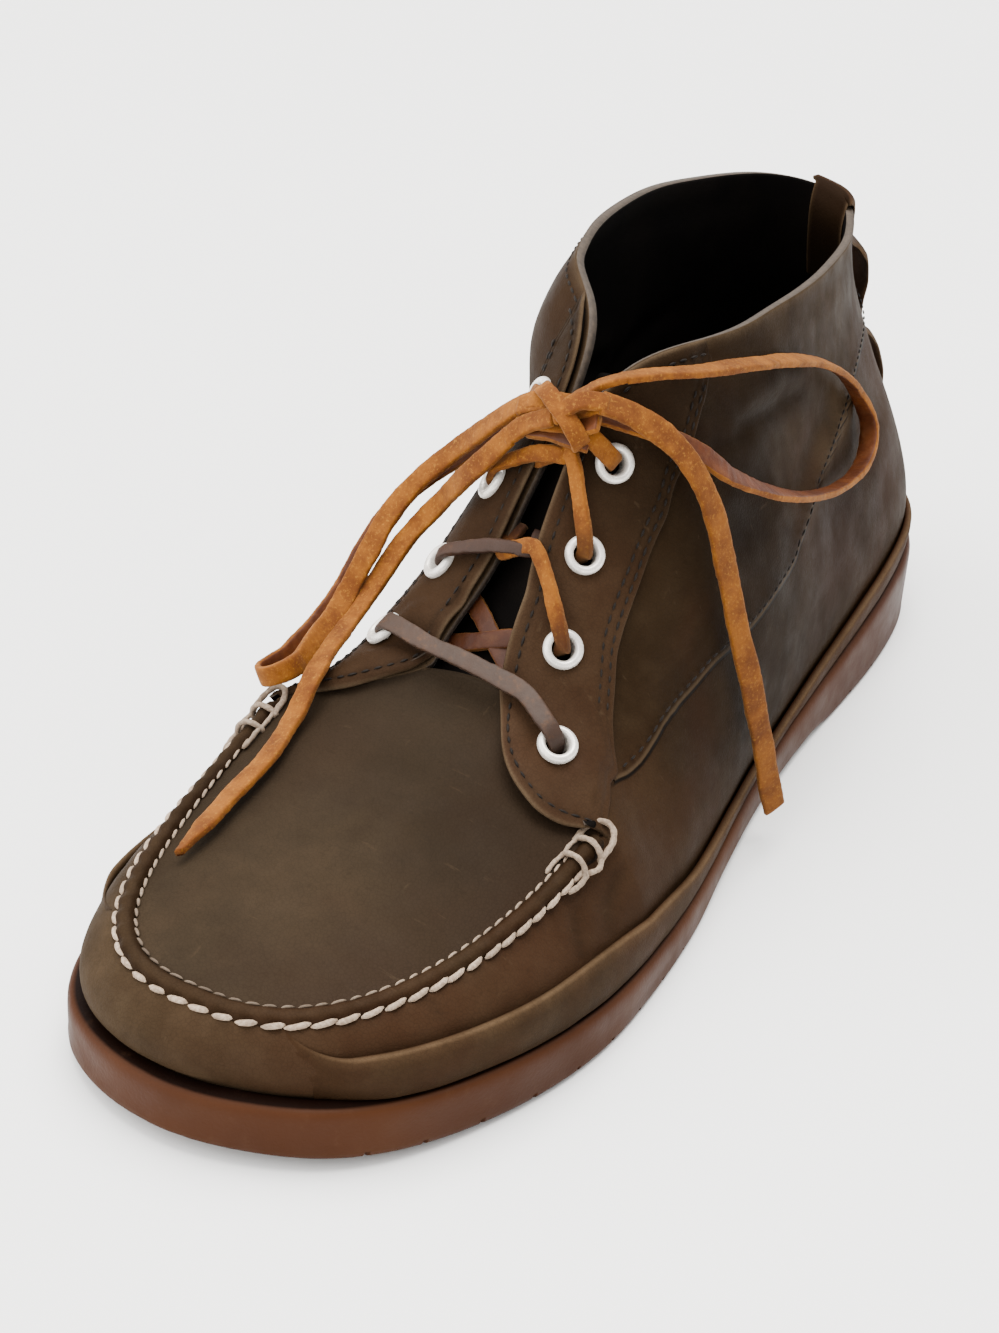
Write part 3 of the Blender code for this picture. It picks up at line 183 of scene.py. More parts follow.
# sections round the boot: side, base distance, top edge x, f, z, then the curve between them:
# o1 belly outward, h1 belly height, o2 top handle outward, d2 top handle down
SECTIONS = [
    # name,              side, base,  x,     f,     z,     o1,   h1,   o2,   d2
    ("heel",                1,   0,  -6.0,  14.5, 105.0,  11.0, 23.5, -7.5, 25.0),
    ("heel_corner_out",     1,  10,   1.5,  20.0, 104.5,   8.5, 23.5, -5.0, 25.0),
    ("counter_out",         1,  32,   9.0,  36.0, 104.5,   6.5, 24.0,  0.5, 27.0),
    ("rear_quarter_out",    1,  60,  15.0,  58.0, 107.0,   6.0, 25.0,  3.0, 30.0),
    ("ankle_out",           1,  90,  19.5,  87.0, 110.0,   6.5, 27.0,  5.0, 32.0),
    ("quarter_out",         1, 117,  20.5, 113.0, 112.5,   8.0, 28.0,  8.0, 32.0),
    ("collar_front_out",    1, 140,  17.0, 137.0, 113.5,   7.0, 28.0, 12.0, 28.0),
    ("corner_out",          1, 151,   9.5, 153.5, 112.0,   6.5, 28.0, 15.0, 20.0),
    ("facing1_out",         1, 159,   3.5, 163.2, 102.6,   6.0, 28.0, 18.0, 13.0),
    ("facing2_out",         1, 167,   2.5, 175.8,  86.2,   5.5, 26.0, 19.0,  7.0),
    ("facing3_out",         1, 176,   4.5, 187.2,  72.2,   5.0, 23.0, 19.0,  3.0),
    ("facing4_out",         1, 184,   8.0, 195.5,  59.2,   4.5, 19.0, 18.0,  1.0),
    ("throat_out",          1, 192,  12.0, 201.5,  53.0,   4.0, 16.0, 16.0,  0.5),
    ("wing_out",            1, 200,  24.0, 207.0,  46.0,   3.0, 14.0, 12.5,  1.5),
    ("seam_end_out",        1, 210,  None,  1.00,  None,   2.5, 12.0,  6.0,  3.5),
    ("seam_joint_out",      1, 245,  None,  0.72,  None,   2.5, 10.0,  7.0,  3.0),
    ("seam_toe_out",        1, 282,  None,  0.36,  None,   2.0,  8.0,  6.0,  2.0),
    ("toe",                 1, 305,  None,  0.00,  None,   2.0,  7.5,  5.5,  1.6),
    ("seam_toe_in",        -1, 284,  None, -0.36,  None,   2.0,  8.0,  6.0,  2.0),
    ("seam_joint_in",      -1, 245,  None, -0.72,  None,   2.5, 11.0,  7.0,  3.5),
    ("seam_end_in",        -1, 209,  None, -1.00,  None,   2.5, 14.0,  6.0,  4.5),
    ("wing_in",            -1, 199, -23.0, 207.5,  48.5,   3.0, 21.0, 13.0, -0.5),
    ("throat_in",          -1, 191, -11.0, 201.5,  53.5,   3.5, 27.0, 18.0, -4.5),
    ("facing4_in",         -1, 183, -10.5, 195.0,  57.5,   4.0, 29.0, 18.0, -3.5),
    ("facing3_in",         -1, 175,  -7.5, 183.4,  68.6,   4.5, 30.0, 18.5, -1.0),
    ("facing2_in",         -1, 166,  -5.0, 173.8,  82.8,   5.0, 28.0, 18.0, 2.0),
    ("facing1_in",         -1, 157,  -3.0, 162.3,  99.2,   5.0, 30.0, 16.5, 8.5),
    ("corner_in",          -1, 149,  -3.5, 153.0, 112.5,   5.0, 30.0, 13.5, 17.0),
    ("collar_turn_in",     -1, 140,  -9.0, 142.0, 119.5,   5.0, 30.0, 10.0, 26.0),
    ("collar_front_in",    -1, 128, -17.0, 124.0, 122.5,   5.0, 30.0,  7.0, 30.0),
    ("quarter_in",         -1, 109, -25.0,  98.0, 121.0,   5.0, 29.0,  4.0, 32.0),
    ("ankle_in",           -1,  88, -29.0,  75.0, 118.0,   5.5, 28.0,  2.0, 32.0),
    ("rear_quarter_in",    -1,  60, -29.0,  50.0, 113.5,   6.5, 26.0,  0.0, 30.0),
    ("counter_in",         -1,  32, -23.5,  27.0, 109.5,   8.5, 25.0, -3.0, 27.0),
    ("heel_corner_in",     -1,  10, -15.0,  15.5, 106.5,  10.5, 24.0, -6.5, 26.0),
]
def _station_u(row): return u_of(row[1], row[2]) if row[2] > 0 else 0.0
_us = np.array([_station_u(r) for r in SECTIONS]); _us[17] = U_TOE
_top = np.array([seam(r[4]) if r[3] is None else (r[3], r[4], r[5]) for r in SECTIONS])
_hnd = np.array([r[6:10] for r in SECTIONS], float)
TOPCURVE = Closed(_top, np.r_[_us, 1.0])
HANDLES = Closed(_hnd, np.r_[_us, 1.0])
_seam_rows = [i for i, r in enumerate(SECTIONS) if r[3] is None]
_su = _us[_seam_rows]; _ss = np.array([SECTIONS[i][4] for i in _seam_rows])
def s_of_u(u): return pchip(_su, _ss, u)
def u_of_s(s): return pchip(_ss[::-1], _su[::-1], s)
U_LAT, U_MED = float(_su[0]), float(_su[-1])
def top_edge(u):
    u = np.mod(np.asarray(u, float), 1.0)
    t = TOPCURVE(u)
    inside = (u >= U_LAT) & (u <= U_MED)
    return np.where(inside[..., None], seam(s_of_u(np.clip(u, U_LAT, U_MED))), t)
def wrap(u, v):
    """Outer face of the upper's side: v 0 at the sole, 1 at the top edge."""
    u = np.asarray(u, float); v = np.asarray(v, float)
    p0, n = outline(u, 0.0)
    F = p0[..., 1]
    p0, n = outline(u, seat(F))
    z0 = sole_top(p0[..., 1]) + 0.3
    a = np.concatenate([p0, z0[..., None]], -1)
    d = top_edge(u)
    h = HANDLES(u)
    n3 = np.concatenate([n, 0 * z0[..., None]], -1); up = np.array([0, 0, 1.0])
    b = a + n3 * h[..., 0:1] + up * h[..., 1:2]
    c = d + n3 * h[..., 2:3] - up * h[..., 3:4]
    v = v[..., None]
    return a * (1 - v)**3 + 3 * b * v * (1 - v)**2 + 3 * c * v**2 * (1 - v) + d * v**3
# plug
CROWN = [
    # F,   centre height
    (190, 56.0), (200, 52.0), (212, 48.0), (230, 43.2), (250, 38.8), (270, 35.0), (285, 32.0), (295.0, 29.6),
]
_c = np.array(CROWN)
_sg = np.linspace(1, 0, 400); _sl = seam(_sg); _sm = seam(-_sg)
def plug_point(s, q):
    """s 1 at the seam ends to 0 at the toe; q from +1 at the lateral seam to -1 at the medial seam."""
    s = np.asarray(s, float); q = np.asarray(q, float)
    a, b = seam(s), seam(-s)
    m = (a + b) / 2
    p = m + (a - b) / 2 * q[..., None]
    zc = pchip(_c[:, 0], _c[:, 1], m[..., 1])
    zside = np.where(q >= 0, a[..., 2], b[..., 2])
    p[..., 2] = zside + (zc - zside) * (1 - np.abs(q)**2.2)
    return p


# ================================================================ helpers
MIDDLE_X, MIDDLE_F = 1.40, L / 2 - 0.4445
NAMES = [r[0] for r in SECTIONS]


def flare(p):
    """The collar's inner front corner stands a little wider; every piece there moves together."""
    x, f, z = p[..., 0], p[..., 1], p[..., 2]
    g = np.exp(-((f - 128.0) / np.where(f > 128.0, 18.0, 38.0))**2) * np.exp(-((z - 105.0) / 21.0)**2)
    t = np.clip((-x - 3.0) / 13.0, 0, 1)
    g = g * t * t * (3 - 2 * t)
    return p + g[..., None] * np.array([-6.6, 4.2, 0.0])


def world(p):
    p = flare(np.asarray(p, float))
    return np.stack([p[..., 0] - MIDDLE_X, MIDDLE_F - p[..., 1], p[..., 2]], -1) * MM


def unit(v):
    v = np.asarray(v, float)
    return v / np.maximum(np.linalg.norm(v, axis=-1, keepdims=True), 1e-9)


def smooth(x, a, b):
    t = np.clip((np.asarray(x, float) - a) / (b - a), 0, 1)
    return t * t * (3 - 2 * t)


def noise(p, size, seed=0):
    """Smooth value noise, -1 to 1, of points in millimetres."""
    q = np.asarray(p, float) / size + 1000.0
    i = np.floor(q).astype(np.int64)
    f = q - i
    f = f * f * (3 - 2 * f)
    out = 0.0
    for dx in (0, 1):
        for dy in (0, 1):
            for dz in (0, 1):
                n = (i[..., 0] + dx) * 73856093 ^ (i[..., 1] + dy) * 19349663 ^ (i[..., 2] + dz) * 83492791 ^ (seed * 2654435)
                n = (n ^ (n >> 13)) * 1274126177 & 0x7FFFFFFF
                n = (n ^ (n >> 15)) * 668265263 & 0x7FFFFFFF
                h = (n & 0xFFFF) / 32767.5 - 1
                w = (f[..., 0] if dx else 1 - f[..., 0]) * (f[..., 1] if dy else 1 - f[..., 1]) * (f[..., 2] if dz else 1 - f[..., 2])
                out = out + h * w
    return out


def through(points, count=None, step=None):
    """A smooth curve through points, evenly spaced along its length. Extra columns follow."""
    p = np.asarray(points, float)
    arc = np.r_[0, np.cumsum(np.linalg.norm(np.diff(p[:, :3], axis=0), axis=1))]
    m = np.zeros_like(p)
    m[1:-1] = (p[2:] - p[:-2]) / (arc[2:] - arc[:-2])[:, None]
    m[0], m[-1] = (p[1] - p[0]) / (arc[1] - arc[0]), (p[-1] - p[-2]) / (arc[-1] - arc[-2])

    def at(t):
        k = np.clip(np.searchsorted(arc, t, side="right") - 1, 0, len(p) - 2)
        h = (arc[k + 1] - arc[k])[:, None]
        s = ((t - arc[k]) / h[:, 0])[:, None]
        return ((2 * s**3 - 3 * s**2 + 1) * p[k] + (s**3 - 2 * s**2 + s) * h * m[k]
                + (3 * s**2 - 2 * s**3) * p[k + 1] + (s**3 - s**2) * h * m[k + 1])

    fine = at(np.linspace(0, arc[-1], 600))
    run = np.r_[0, np.cumsum(np.linalg.norm(np.diff(fine[:, :3], axis=0), axis=1))]
    if count is None:
        count = max(4, int(round(run[-1] / step)) + 1)
    even = np.linspace(0, run[-1], count)
    return np.stack([np.interp(even, run, fine[:, c]) for c in range(p.shape[1])], 1)


BOOT = bpy.data.collections.new("boot_fine")
bpy.context.scene.collection.children.link(BOOT)


def make(name, verts, faces, mats, face_mat=None, attrs=None, node=None, outward=None, sharp=None, closed=True):
    """A mesh piece from table-frame points, faces turned outward, riding on the boot."""
    me = bpy.data.meshes.new(name)
    me.from_pydata([tuple(v) for v in world(verts)], [], [tuple(int(i) for i in f) for f in faces])
    for m in mats if isinstance(mats, (list, tuple)) else [mats]:
        me.materials.append(m)
    if face_mat is not None:
        me.polygons.foreach_set("material_index", np.asarray(face_mat, np.int32))
    for key, values in (attrs or {}).items():
        a = me.attributes.new(key, "FLOAT", "POINT")
        a.data.foreach_set("value", np.asarray(values, np.float32))
    bm = bmesh.new()
    bm.from_mesh(me)
    bmesh.ops.remove_doubles(bm, verts=bm.verts, dist=2e-6)
    if closed or outward is not None:
        bmesh.ops.recalc_face_normals(bm, faces=bm.faces)
    if outward is not None:
        bm.faces.ensure_lookup_table()
        target = Vector(world(np.array(outward[0], float)))
        near = min(bm.faces, key=lambda f: (f.calc_center_median() - target).length_squared)
        d = outward[1]
        if near.normal.dot(Vector((d[0], -d[1], d[2]))) < 0:
            bmesh.ops.reverse_faces(bm, faces=bm.faces)
    bm.to_mesh(me)
    bm.free()
    me.shade_smooth()
    if sharp:
        me.set_sharp_from_angle(angle=math.radians(sharp))
    ob = bpy.data.objects.new(name, me)
    BOOT.objects.link(ob)
    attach(ob, "root")
    if node:
        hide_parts(*([node] if isinstance(node, str) else node))
    return ob


def grid_faces(n, m, base=0, ring=False):
    f = []
    for i in range(n if ring else n - 1):
        a, b = base + i * m, base + ((i + 1) % n) * m
        for j in range(m - 1):
            f.append((a + j, a + j + 1, b + j + 1, b + j))
    return f


def tube_faces(rings, n, base=0, caps=True):
    f = []
    for k in range(rings - 1):
        a, b = base + k * n, base + (k + 1) * n
        for i in range(n):
            j = (i + 1) % n
            f.append((a + i, a + j, b + j, b + i))
    if caps:
        f.append(tuple(range(base, base + n))[::-1])
        f.append(tuple(range(base + (rings - 1) * n, base + rings * n)))
    return f


def thicken(ob, mm, offset=-1.0, inner=0, rim=0):
    m = ob.modifiers.new("thickness", "SOLIDIFY")
    m.thickness, m.offset = mm * MM, offset
    m.material_offset, m.material_offset_rim = inner, rim
    m.use_even_offset, m.thickness_clamp = False, 0.0
    return m


def skin_normal(u, v, e=1e-3):
    """Unit normal of the wall, pointing out."""
    u = np.asarray(u, float)
    v = np.asarray(v, float)
    a = wrap(u + e, v) - wrap(u - e, v)
    b = wrap(u, np.minimum(v + e, 1)) - wrap(u, np.maximum(v - e, 0))
    return unit(np.cross(a, b))


def distance_to(p, line):
    """Distance of each point to a polyline, and the place along it from 0 to 1."""
    p, line = np.asarray(p, float), np.asarray(line, float)
    best, where = np.full(len(p), 1e9), np.zeros(len(p))
    run = np.r_[0, np.cumsum(np.linalg.norm(np.diff(line, axis=0), axis=1))]
    for k in range(len(line) - 1):
        a, d = line[k], line[k + 1] - line[k]
        t = np.clip(((p - a) @ d) / max(d @ d, 1e-12), 0, 1)
        r = np.linalg.norm(p - a - t[:, None] * d, axis=1)
        near = r < best
        best[near] = r[near]
        where[near] = (run[k] + t[near] * (run[k + 1] - run[k])) / run[-1]
    return best, where


# ================================================================ materials
class Nodes:
    """A short way to write a node tree."""

    def __init__(self, name):
        self.mat = bpy.data.materials.new(name)
        self.mat.use_nodes = True
        self.tree = self.mat.node_tree
        self.bsdf = self.tree.nodes["Principled BSDF"]
        self.where = self.node("ShaderNodeTexCoord").outputs["Object"]

    def node(self, kind, **inputs):
        n = self.tree.nodes.new(kind)
        for key, value in inputs.items():
            self.put(n.inputs[key.replace("_", " ")], value)
        return n

    def put(self, socket, value):
        if isinstance(value, bpy.types.NodeSocket):
            self.tree.links.new(value, socket)
        elif isinstance(value, (tuple, list)) and len(value) == 3 and socket.type == "RGBA":
            socket.default_value = (*value, 1.0)
        else:
            socket.default_value = value

    def set(self, **inputs):
        for key, value in inputs.items():
            self.put(self.bsdf.inputs[key.replace("_", " ")], value)

    def noise(self, scale, detail=3.0, rough=0.55, where=None, distort=0.0):
        n = self.node("ShaderNodeTexNoise", Vector=where or self.where, Scale=scale, Detail=detail, Roughness=rough, Distortion=distort)
        return n.outputs["Fac"]

    def stretched(self, scale, ratios, detail=2.0, rough=0.5):
        m = self.node("ShaderNodeMapping", Vector=self.where, Scale=ratios)
        return self.noise(scale, detail, rough, where=m.outputs[0])

    def cells(self, scale, feature="F1", where=None):
        n = self.node("ShaderNodeTexVoronoi", Vector=where or self.where, Scale=scale)
        n.feature = feature
        return n.outputs["Distance"]

    def attr(self, name):
        n = self.node("ShaderNodeAttribute")
        n.attribute_name = name
        return n.outputs["Fac"]

    def maths(self, op, a, b=0.0, c=0.0, clamp=False):
        n = self.node("ShaderNodeMath")
        n.operation, n.use_clamp = op, clamp
        for k, v in enumerate((a, b, c)):
            self.put(n.inputs[k], v)
        return n.outputs[0]

    def steps(self, value, low, high, a=0.0, b=1.0, smooth_it=True):
        n = self.node("ShaderNodeMapRange")
        n.interpolation_type = "SMOOTHSTEP" if smooth_it else "LINEAR"
        for key, v in (("Value", value), ("From Min", low), ("From Max", high), ("To Min", a), ("To Max", b)):
            self.put(n.inputs[key], v)
        return n.outputs[0]

    def mix(self, fac, a, b, kind="MIX"):
        n = self.node("ShaderNodeMix")
        n.data_type, n.blend_type = "RGBA", kind
        self.put(n.inputs["Factor"], fac)
        self.put(n.inputs[6], a)
        self.put(n.inputs[7], b)
        return n.outputs[2]

    def bump(self, height, strength, mm, normal=None):
        n = self.node("ShaderNodeBump", Height=height, Strength=strength, Distance=mm * MM)
        if normal is not None:
            self.put(n.inputs["Normal"], normal)
        return n.outputs["Normal"]


def leather(name, dark, mid, light, red, pale_tone, gloss=0.5, seam=False):
    """Oiled pull-up leather: cloudy colour, fine grain, pale at scuffs and bends, with painted shade, painted sheen and
    painted highlights set by attributes.
    """
    k = Nodes(name)
    cloud = k.noise(34, 4.0, 0.6, distort=0.6)
    small = k.noise(130, 5.0, 0.65)
    base = k.mix(k.steps(cloud, 0.32, 0.68), dark, mid)
    base = k.mix(k.maths("MULTIPLY", k.steps(small, 0.40, 0.80), 0.40), base, light)
    base = k.mix(k.maths("MULTIPLY", k.steps(k.noise(22, 3.0, 0.55, distort=0.4), 0.48, 0.70), 0.40), base, red)
    base = k.mix(k.attr("reddish"), base, red)
    # painted sheen: a grey tone where the plug is marked
    base = k.mix(k.maths("MULTIPLY", k.attr("grey_sheen"), 0.62), base, (0.0185, 0.0136, 0.0090))
    # painted shade: darker where shade is marked
    base = k.mix(k.attr("shade"), base, tuple(c * 0.36 for c in dark))
    # wear and painted highlights: paler leather where marked
    base = k.mix(k.maths("MULTIPLY", k.attr("wear_and_highlight"), k.steps(small, 0.15, 0.75, 0.45, 1.0)), base, pale_tone)
    # fine scratches and scuffs
    scratch = k.steps(k.stretched(260, (0.25, 2.6, 1.1), 3.0, 0.6), 0.66, 0.74)
    scratch2 = k.steps(k.stretched(210, (2.2, 0.3, 0.9), 3.0, 0.6), 0.68, 0.76)
    marks = k.maths("MULTIPLY", k.maths("MAXIMUM", scratch, scratch2), 0.16)
    base = k.mix(marks, base, pale_tone)
    grain = k.cells(1150, "DISTANCE_TO_EDGE")
    pores = k.steps(k.noise(2400, 2.0, 0.5), 0.30, 0.50)
    grain_h = k.maths("ADD", k.steps(grain, 0.0, 0.16), k.maths("MULTIPLY", pores, 0.5))
    base = k.mix(k.maths("MULTIPLY", k.steps(grain, 0.0, 0.10, 1.0, 0.0), 0.22), base, tuple(c * 0.45 for c in dark))
    normal = k.bump(grain_h, 0.32, 0.09)
    normal = k.bump(k.noise(160, 4.0, 0.6), 0.35, 0.5, normal)
    if seam:
        # the quarter lies over the lower panel: a step, with a pale cut edge and a painted shadow line at the step's
        # foot
        d = k.attr("seam_d")
        step = k.steps(d, -0.35, 0.45)
        normal = k.bump(step, 1.0, 0.95, normal)
        line = k.maths("MULTIPLY", k.steps(d, -0.75, -0.20), k.steps(d, 0.05, 0.45, 1.0, 0.0))
        pale = k.steps(d, 0.05, 0.55)
        pale = k.maths("MULTIPLY", pale, k.steps(d, 0.7, 1.5, 1.0, 0.0))
        base = k.mix(k.maths("MULTIPLY", line, 0.85), base, tuple(c * 0.25 for c in dark))
        base = k.mix(k.maths("MULTIPLY", pale, 0.42), base, pale_tone)
    rough = k.steps(k.noise(90, 4.0, 0.6), 0.25, 0.75, gloss + 0.02, gloss + 0.20)
    rough = k.maths("ADD", rough, k.maths("MULTIPLY", k.attr("wear_and_highlight"), 0.10))
    k.set(Base_Color=base, Roughness=rough, Normal=normal, Specular_IOR_Level=0.5, IOR=1.09)
    return k.mat


DARK, MID, LIGHT = (0.0120, 0.0064, 0.0027), (0.0200, 0.0116, 0.0054), (0.0290, 0.0180, 0.0090)
# the pale colour on this line serves both wear and painted highlights
RED, WORN_AND_LIT = (0.0250, 0.0094, 0.0042), (0.070, 0.047, 0.027)
UPPER = leather("leather_upper", DARK, MID, LIGHT, RED, WORN_AND_LIT, 0.50, seam=True)
STAY = leather("leather_stay", (0.0125, 0.0068, 0.0033), (0.0195, 0.0110, 0.0054), (0.0285, 0.0170, 0.0088), RED, WORN_AND_LIT, 0.52)
STRIP = leather("leather_strip", (0.0155, 0.0082, 0.0036), (0.0240, 0.0138, 0.0063), (0.0340, 0.0210, 0.0104), (0.0280, 0.0104, 0.0048), (0.086, 0.054, 0.029), 0.50)


def edge_leather():
    """Cut edge of the leather: fibrous, paler than the face."""
    k = Nodes("leather_cut_edge")
    fibre = k.noise(900, 4.0, 0.7)
    base = k.mix(k.steps(fibre, 0.3, 0.7), (0.022, 0.0135, 0.0075), (0.052, 0.035, 0.0215))
    k.set(Base_Color=base, Roughness=0.82, Normal=k.bump(fibre, 0.5, 0.15))
    return k.mat


def lining():
    k = Nodes("lining_dark")
    c = k.noise(60, 3.0, 0.6)
    base = k.mix(k.steps(c, 0.35, 0.7), (0.0015, 0.0010, 0.0008), (0.0030, 0.0020, 0.0015))
    k.set(Base_Color=base, Roughness=0.88, Normal=k.bump(k.noise(1500, 3.0, 0.6), 0.4, 0.12), Specular_IOR_Level=0.05)
    return k.mat


def rubber():
    """Reddish brown moulded rubber with dust in its grain."""
    k = Nodes("rubber_sole")
    c = k.noise(18, 3.0, 0.55)
    base = k.mix(k.steps(c, 0.35, 0.68), (0.0340, 0.0108, 0.0034), (0.0470, 0.0160, 0.0054))
    base = k.mix(k.attr("reddish"), base, (0.0380, 0.0125, 0.0056))
    base = k.mix(k.attr("shade"), base, (0.0034, 0.0010, 0.0005))
    dust = k.steps(k.noise(240, 5.0, 0.7), 0.55, 0.80)
    base = k.mix(k.maths("MULTIPLY", dust, 0.22), base, (0.075, 0.037, 0.019))
    scuff = k.steps(k.stretched(170, (0.5, 0.5, 3.2), 4.0, 0.65), 0.62, 0.76)
    base = k.mix(k.maths("MULTIPLY", scuff, 0.18), base, (0.028, 0.011, 0.006))
    line = k.steps(k.noise(1300, 2.0, 0.5), 0.3, 0.7)
    normal = k.bump(line, 0.25, 0.08)
    normal = k.bump(k.noise(120, 3.0, 0.5), 0.3, 0.3, normal)
    k.set(Base_Color=base, Roughness=k.steps(k.noise(70, 3.0, 0.6), 0.3, 0.7, 0.46, 0.62), Normal=normal, Specular_IOR_Level=0.5, IOR=1.16)
    return k.mat


def metal():
    k = Nodes("eyelet_metal")
    c = k.noise(900, 3.0, 0.6)
    base = k.mix(k.steps(c, 0.35, 0.7), (0.79, 0.745, 0.68), (0.61, 0.57, 0.515))
    k.set(Base_Color=base, Metallic=0.35, Roughness=k.steps(c, 0.3, 0.7, 0.20, 0.38), Normal=k.bump(k.noise(500, 3.0, 0.5), 0.15, 0.1))
    return k.mat


def rawhide():
    """Lace leather: golden suede on the flesh side and edges, dark smooth grain on the other side."""
    k = Nodes("lace_rawhide")
    side = k.attr("grain")
    fuzz = k.noise(1500, 4.0, 0.7)
    cloud = k.noise(150, 3.0, 0.6)
    suede = k.mix(k.steps(cloud, 0.32, 0.68), (0.086, 0.0220, 0.0013), (0.168, 0.0530, 0.0036))
    suede = k.mix(k.maths("MULTIPLY", k.steps(fuzz, 0.52, 0.72), 0.45), suede, (0.340, 0.150, 0.016))
    suede = k.mix(k.maths("MULTIPLY", k.steps(fuzz, 0.28, 0.46, 1.0, 0.0), 0.40), suede, (0.055, 0.016, 0.003))
    face = k.mix(k.steps(cloud, 0.35, 0.70), (0.048, 0.0112, 0.0024), (0.088, 0.0235, 0.0045))
    face = k.mix(k.attr("grey"), face, (0.0285, 0.0195, 0.0140))
    face = k.mix(k.maths("MULTIPLY", k.steps(k.noise(420, 4.0, 0.65), 0.5, 0.75), 0.35), face, (0.115, 0.048, 0.016))
    base = k.mix(k.steps(side, 0.42, 0.80), suede, face)
    base = k.mix(k.attr("shade"), base, (0.012, 0.004, 0.002))
    normal = k.bump(fuzz, 0.55, 0.16)
    normal = k.bump(k.noise(420, 3.0, 0.6), 0.4, 0.25, normal)
    k.set(Base_Color=base, Roughness=k.steps(side, 0.4, 0.8, 0.88, 0.52), Normal=normal, Specular_IOR_Level=0.18,
          Sheen_Weight=k.steps(side, 0.4, 0.8, 0.10, 0.0), Sheen_Roughness=0.5, Sheen_Tint=(0.85, 0.55, 0.25))
    return k.mat


def thread(name, a, b):
    """Waxed thread with a twist."""
    k = Nodes(name)
    twist = k.noise(1700, 3.0, 0.6)
    base = k.mix(k.steps(twist, 0.35, 0.68), a, b)
    base = k.mix(k.maths("MULTIPLY", k.steps(k.noise(160, 3.0, 0.6), 0.5, 0.75), 0.5), base, tuple(c * 0.45 for c in a))
    base = k.mix(k.attr("dimmed"), base, tuple(c * 0.22 for c in a))
    k.set(Base_Color=base, Specular_IOR_Level=0.15, Roughness=0.72, Normal=k.bump(twist, 0.7, 0.15))
    return k.mat


def insole_leather():
    k = Nodes("insole_tan")
    c = k.noise(45, 4.0, 0.6)
    base = k.mix(k.steps(c, 0.35, 0.7), (0.012, 0.0076, 0.0048), (0.022, 0.0144, 0.0088))
    k.set(Base_Color=base, Roughness=0.75, Normal=k.bump(k.cells(900, "DISTANCE_TO_EDGE"), 0.3, 0.08))
    return k.mat


def floor_paint():
    k = Nodes("floor_pale")
    c = k.noise(3.0, 4.0, 0.6)
    base = k.mix(k.steps(c, 0.3, 0.7), (0.92, 0.915, 0.905), (0.94, 0.937, 0.93))
    k.set(Base_Color=base, Roughness=0.55, Normal=k.bump(k.noise(60, 3.0, 0.5), 0.05, 0.3))
    return k.mat


EDGE, LINING, RUBBER, METAL, LACE = edge_leather(), lining(), rubber(), metal(), rawhide()
THREAD = thread("thread_offwhite", (0.25, 0.178, 0.125), (0.40, 0.308, 0.228))
THREAD_DARK = thread("thread_brown", (0.0040, 0.0026, 0.0018), (0.0095, 0.0062, 0.0042))
INSOLE, FLOOR = insole_leather(), floor_paint()

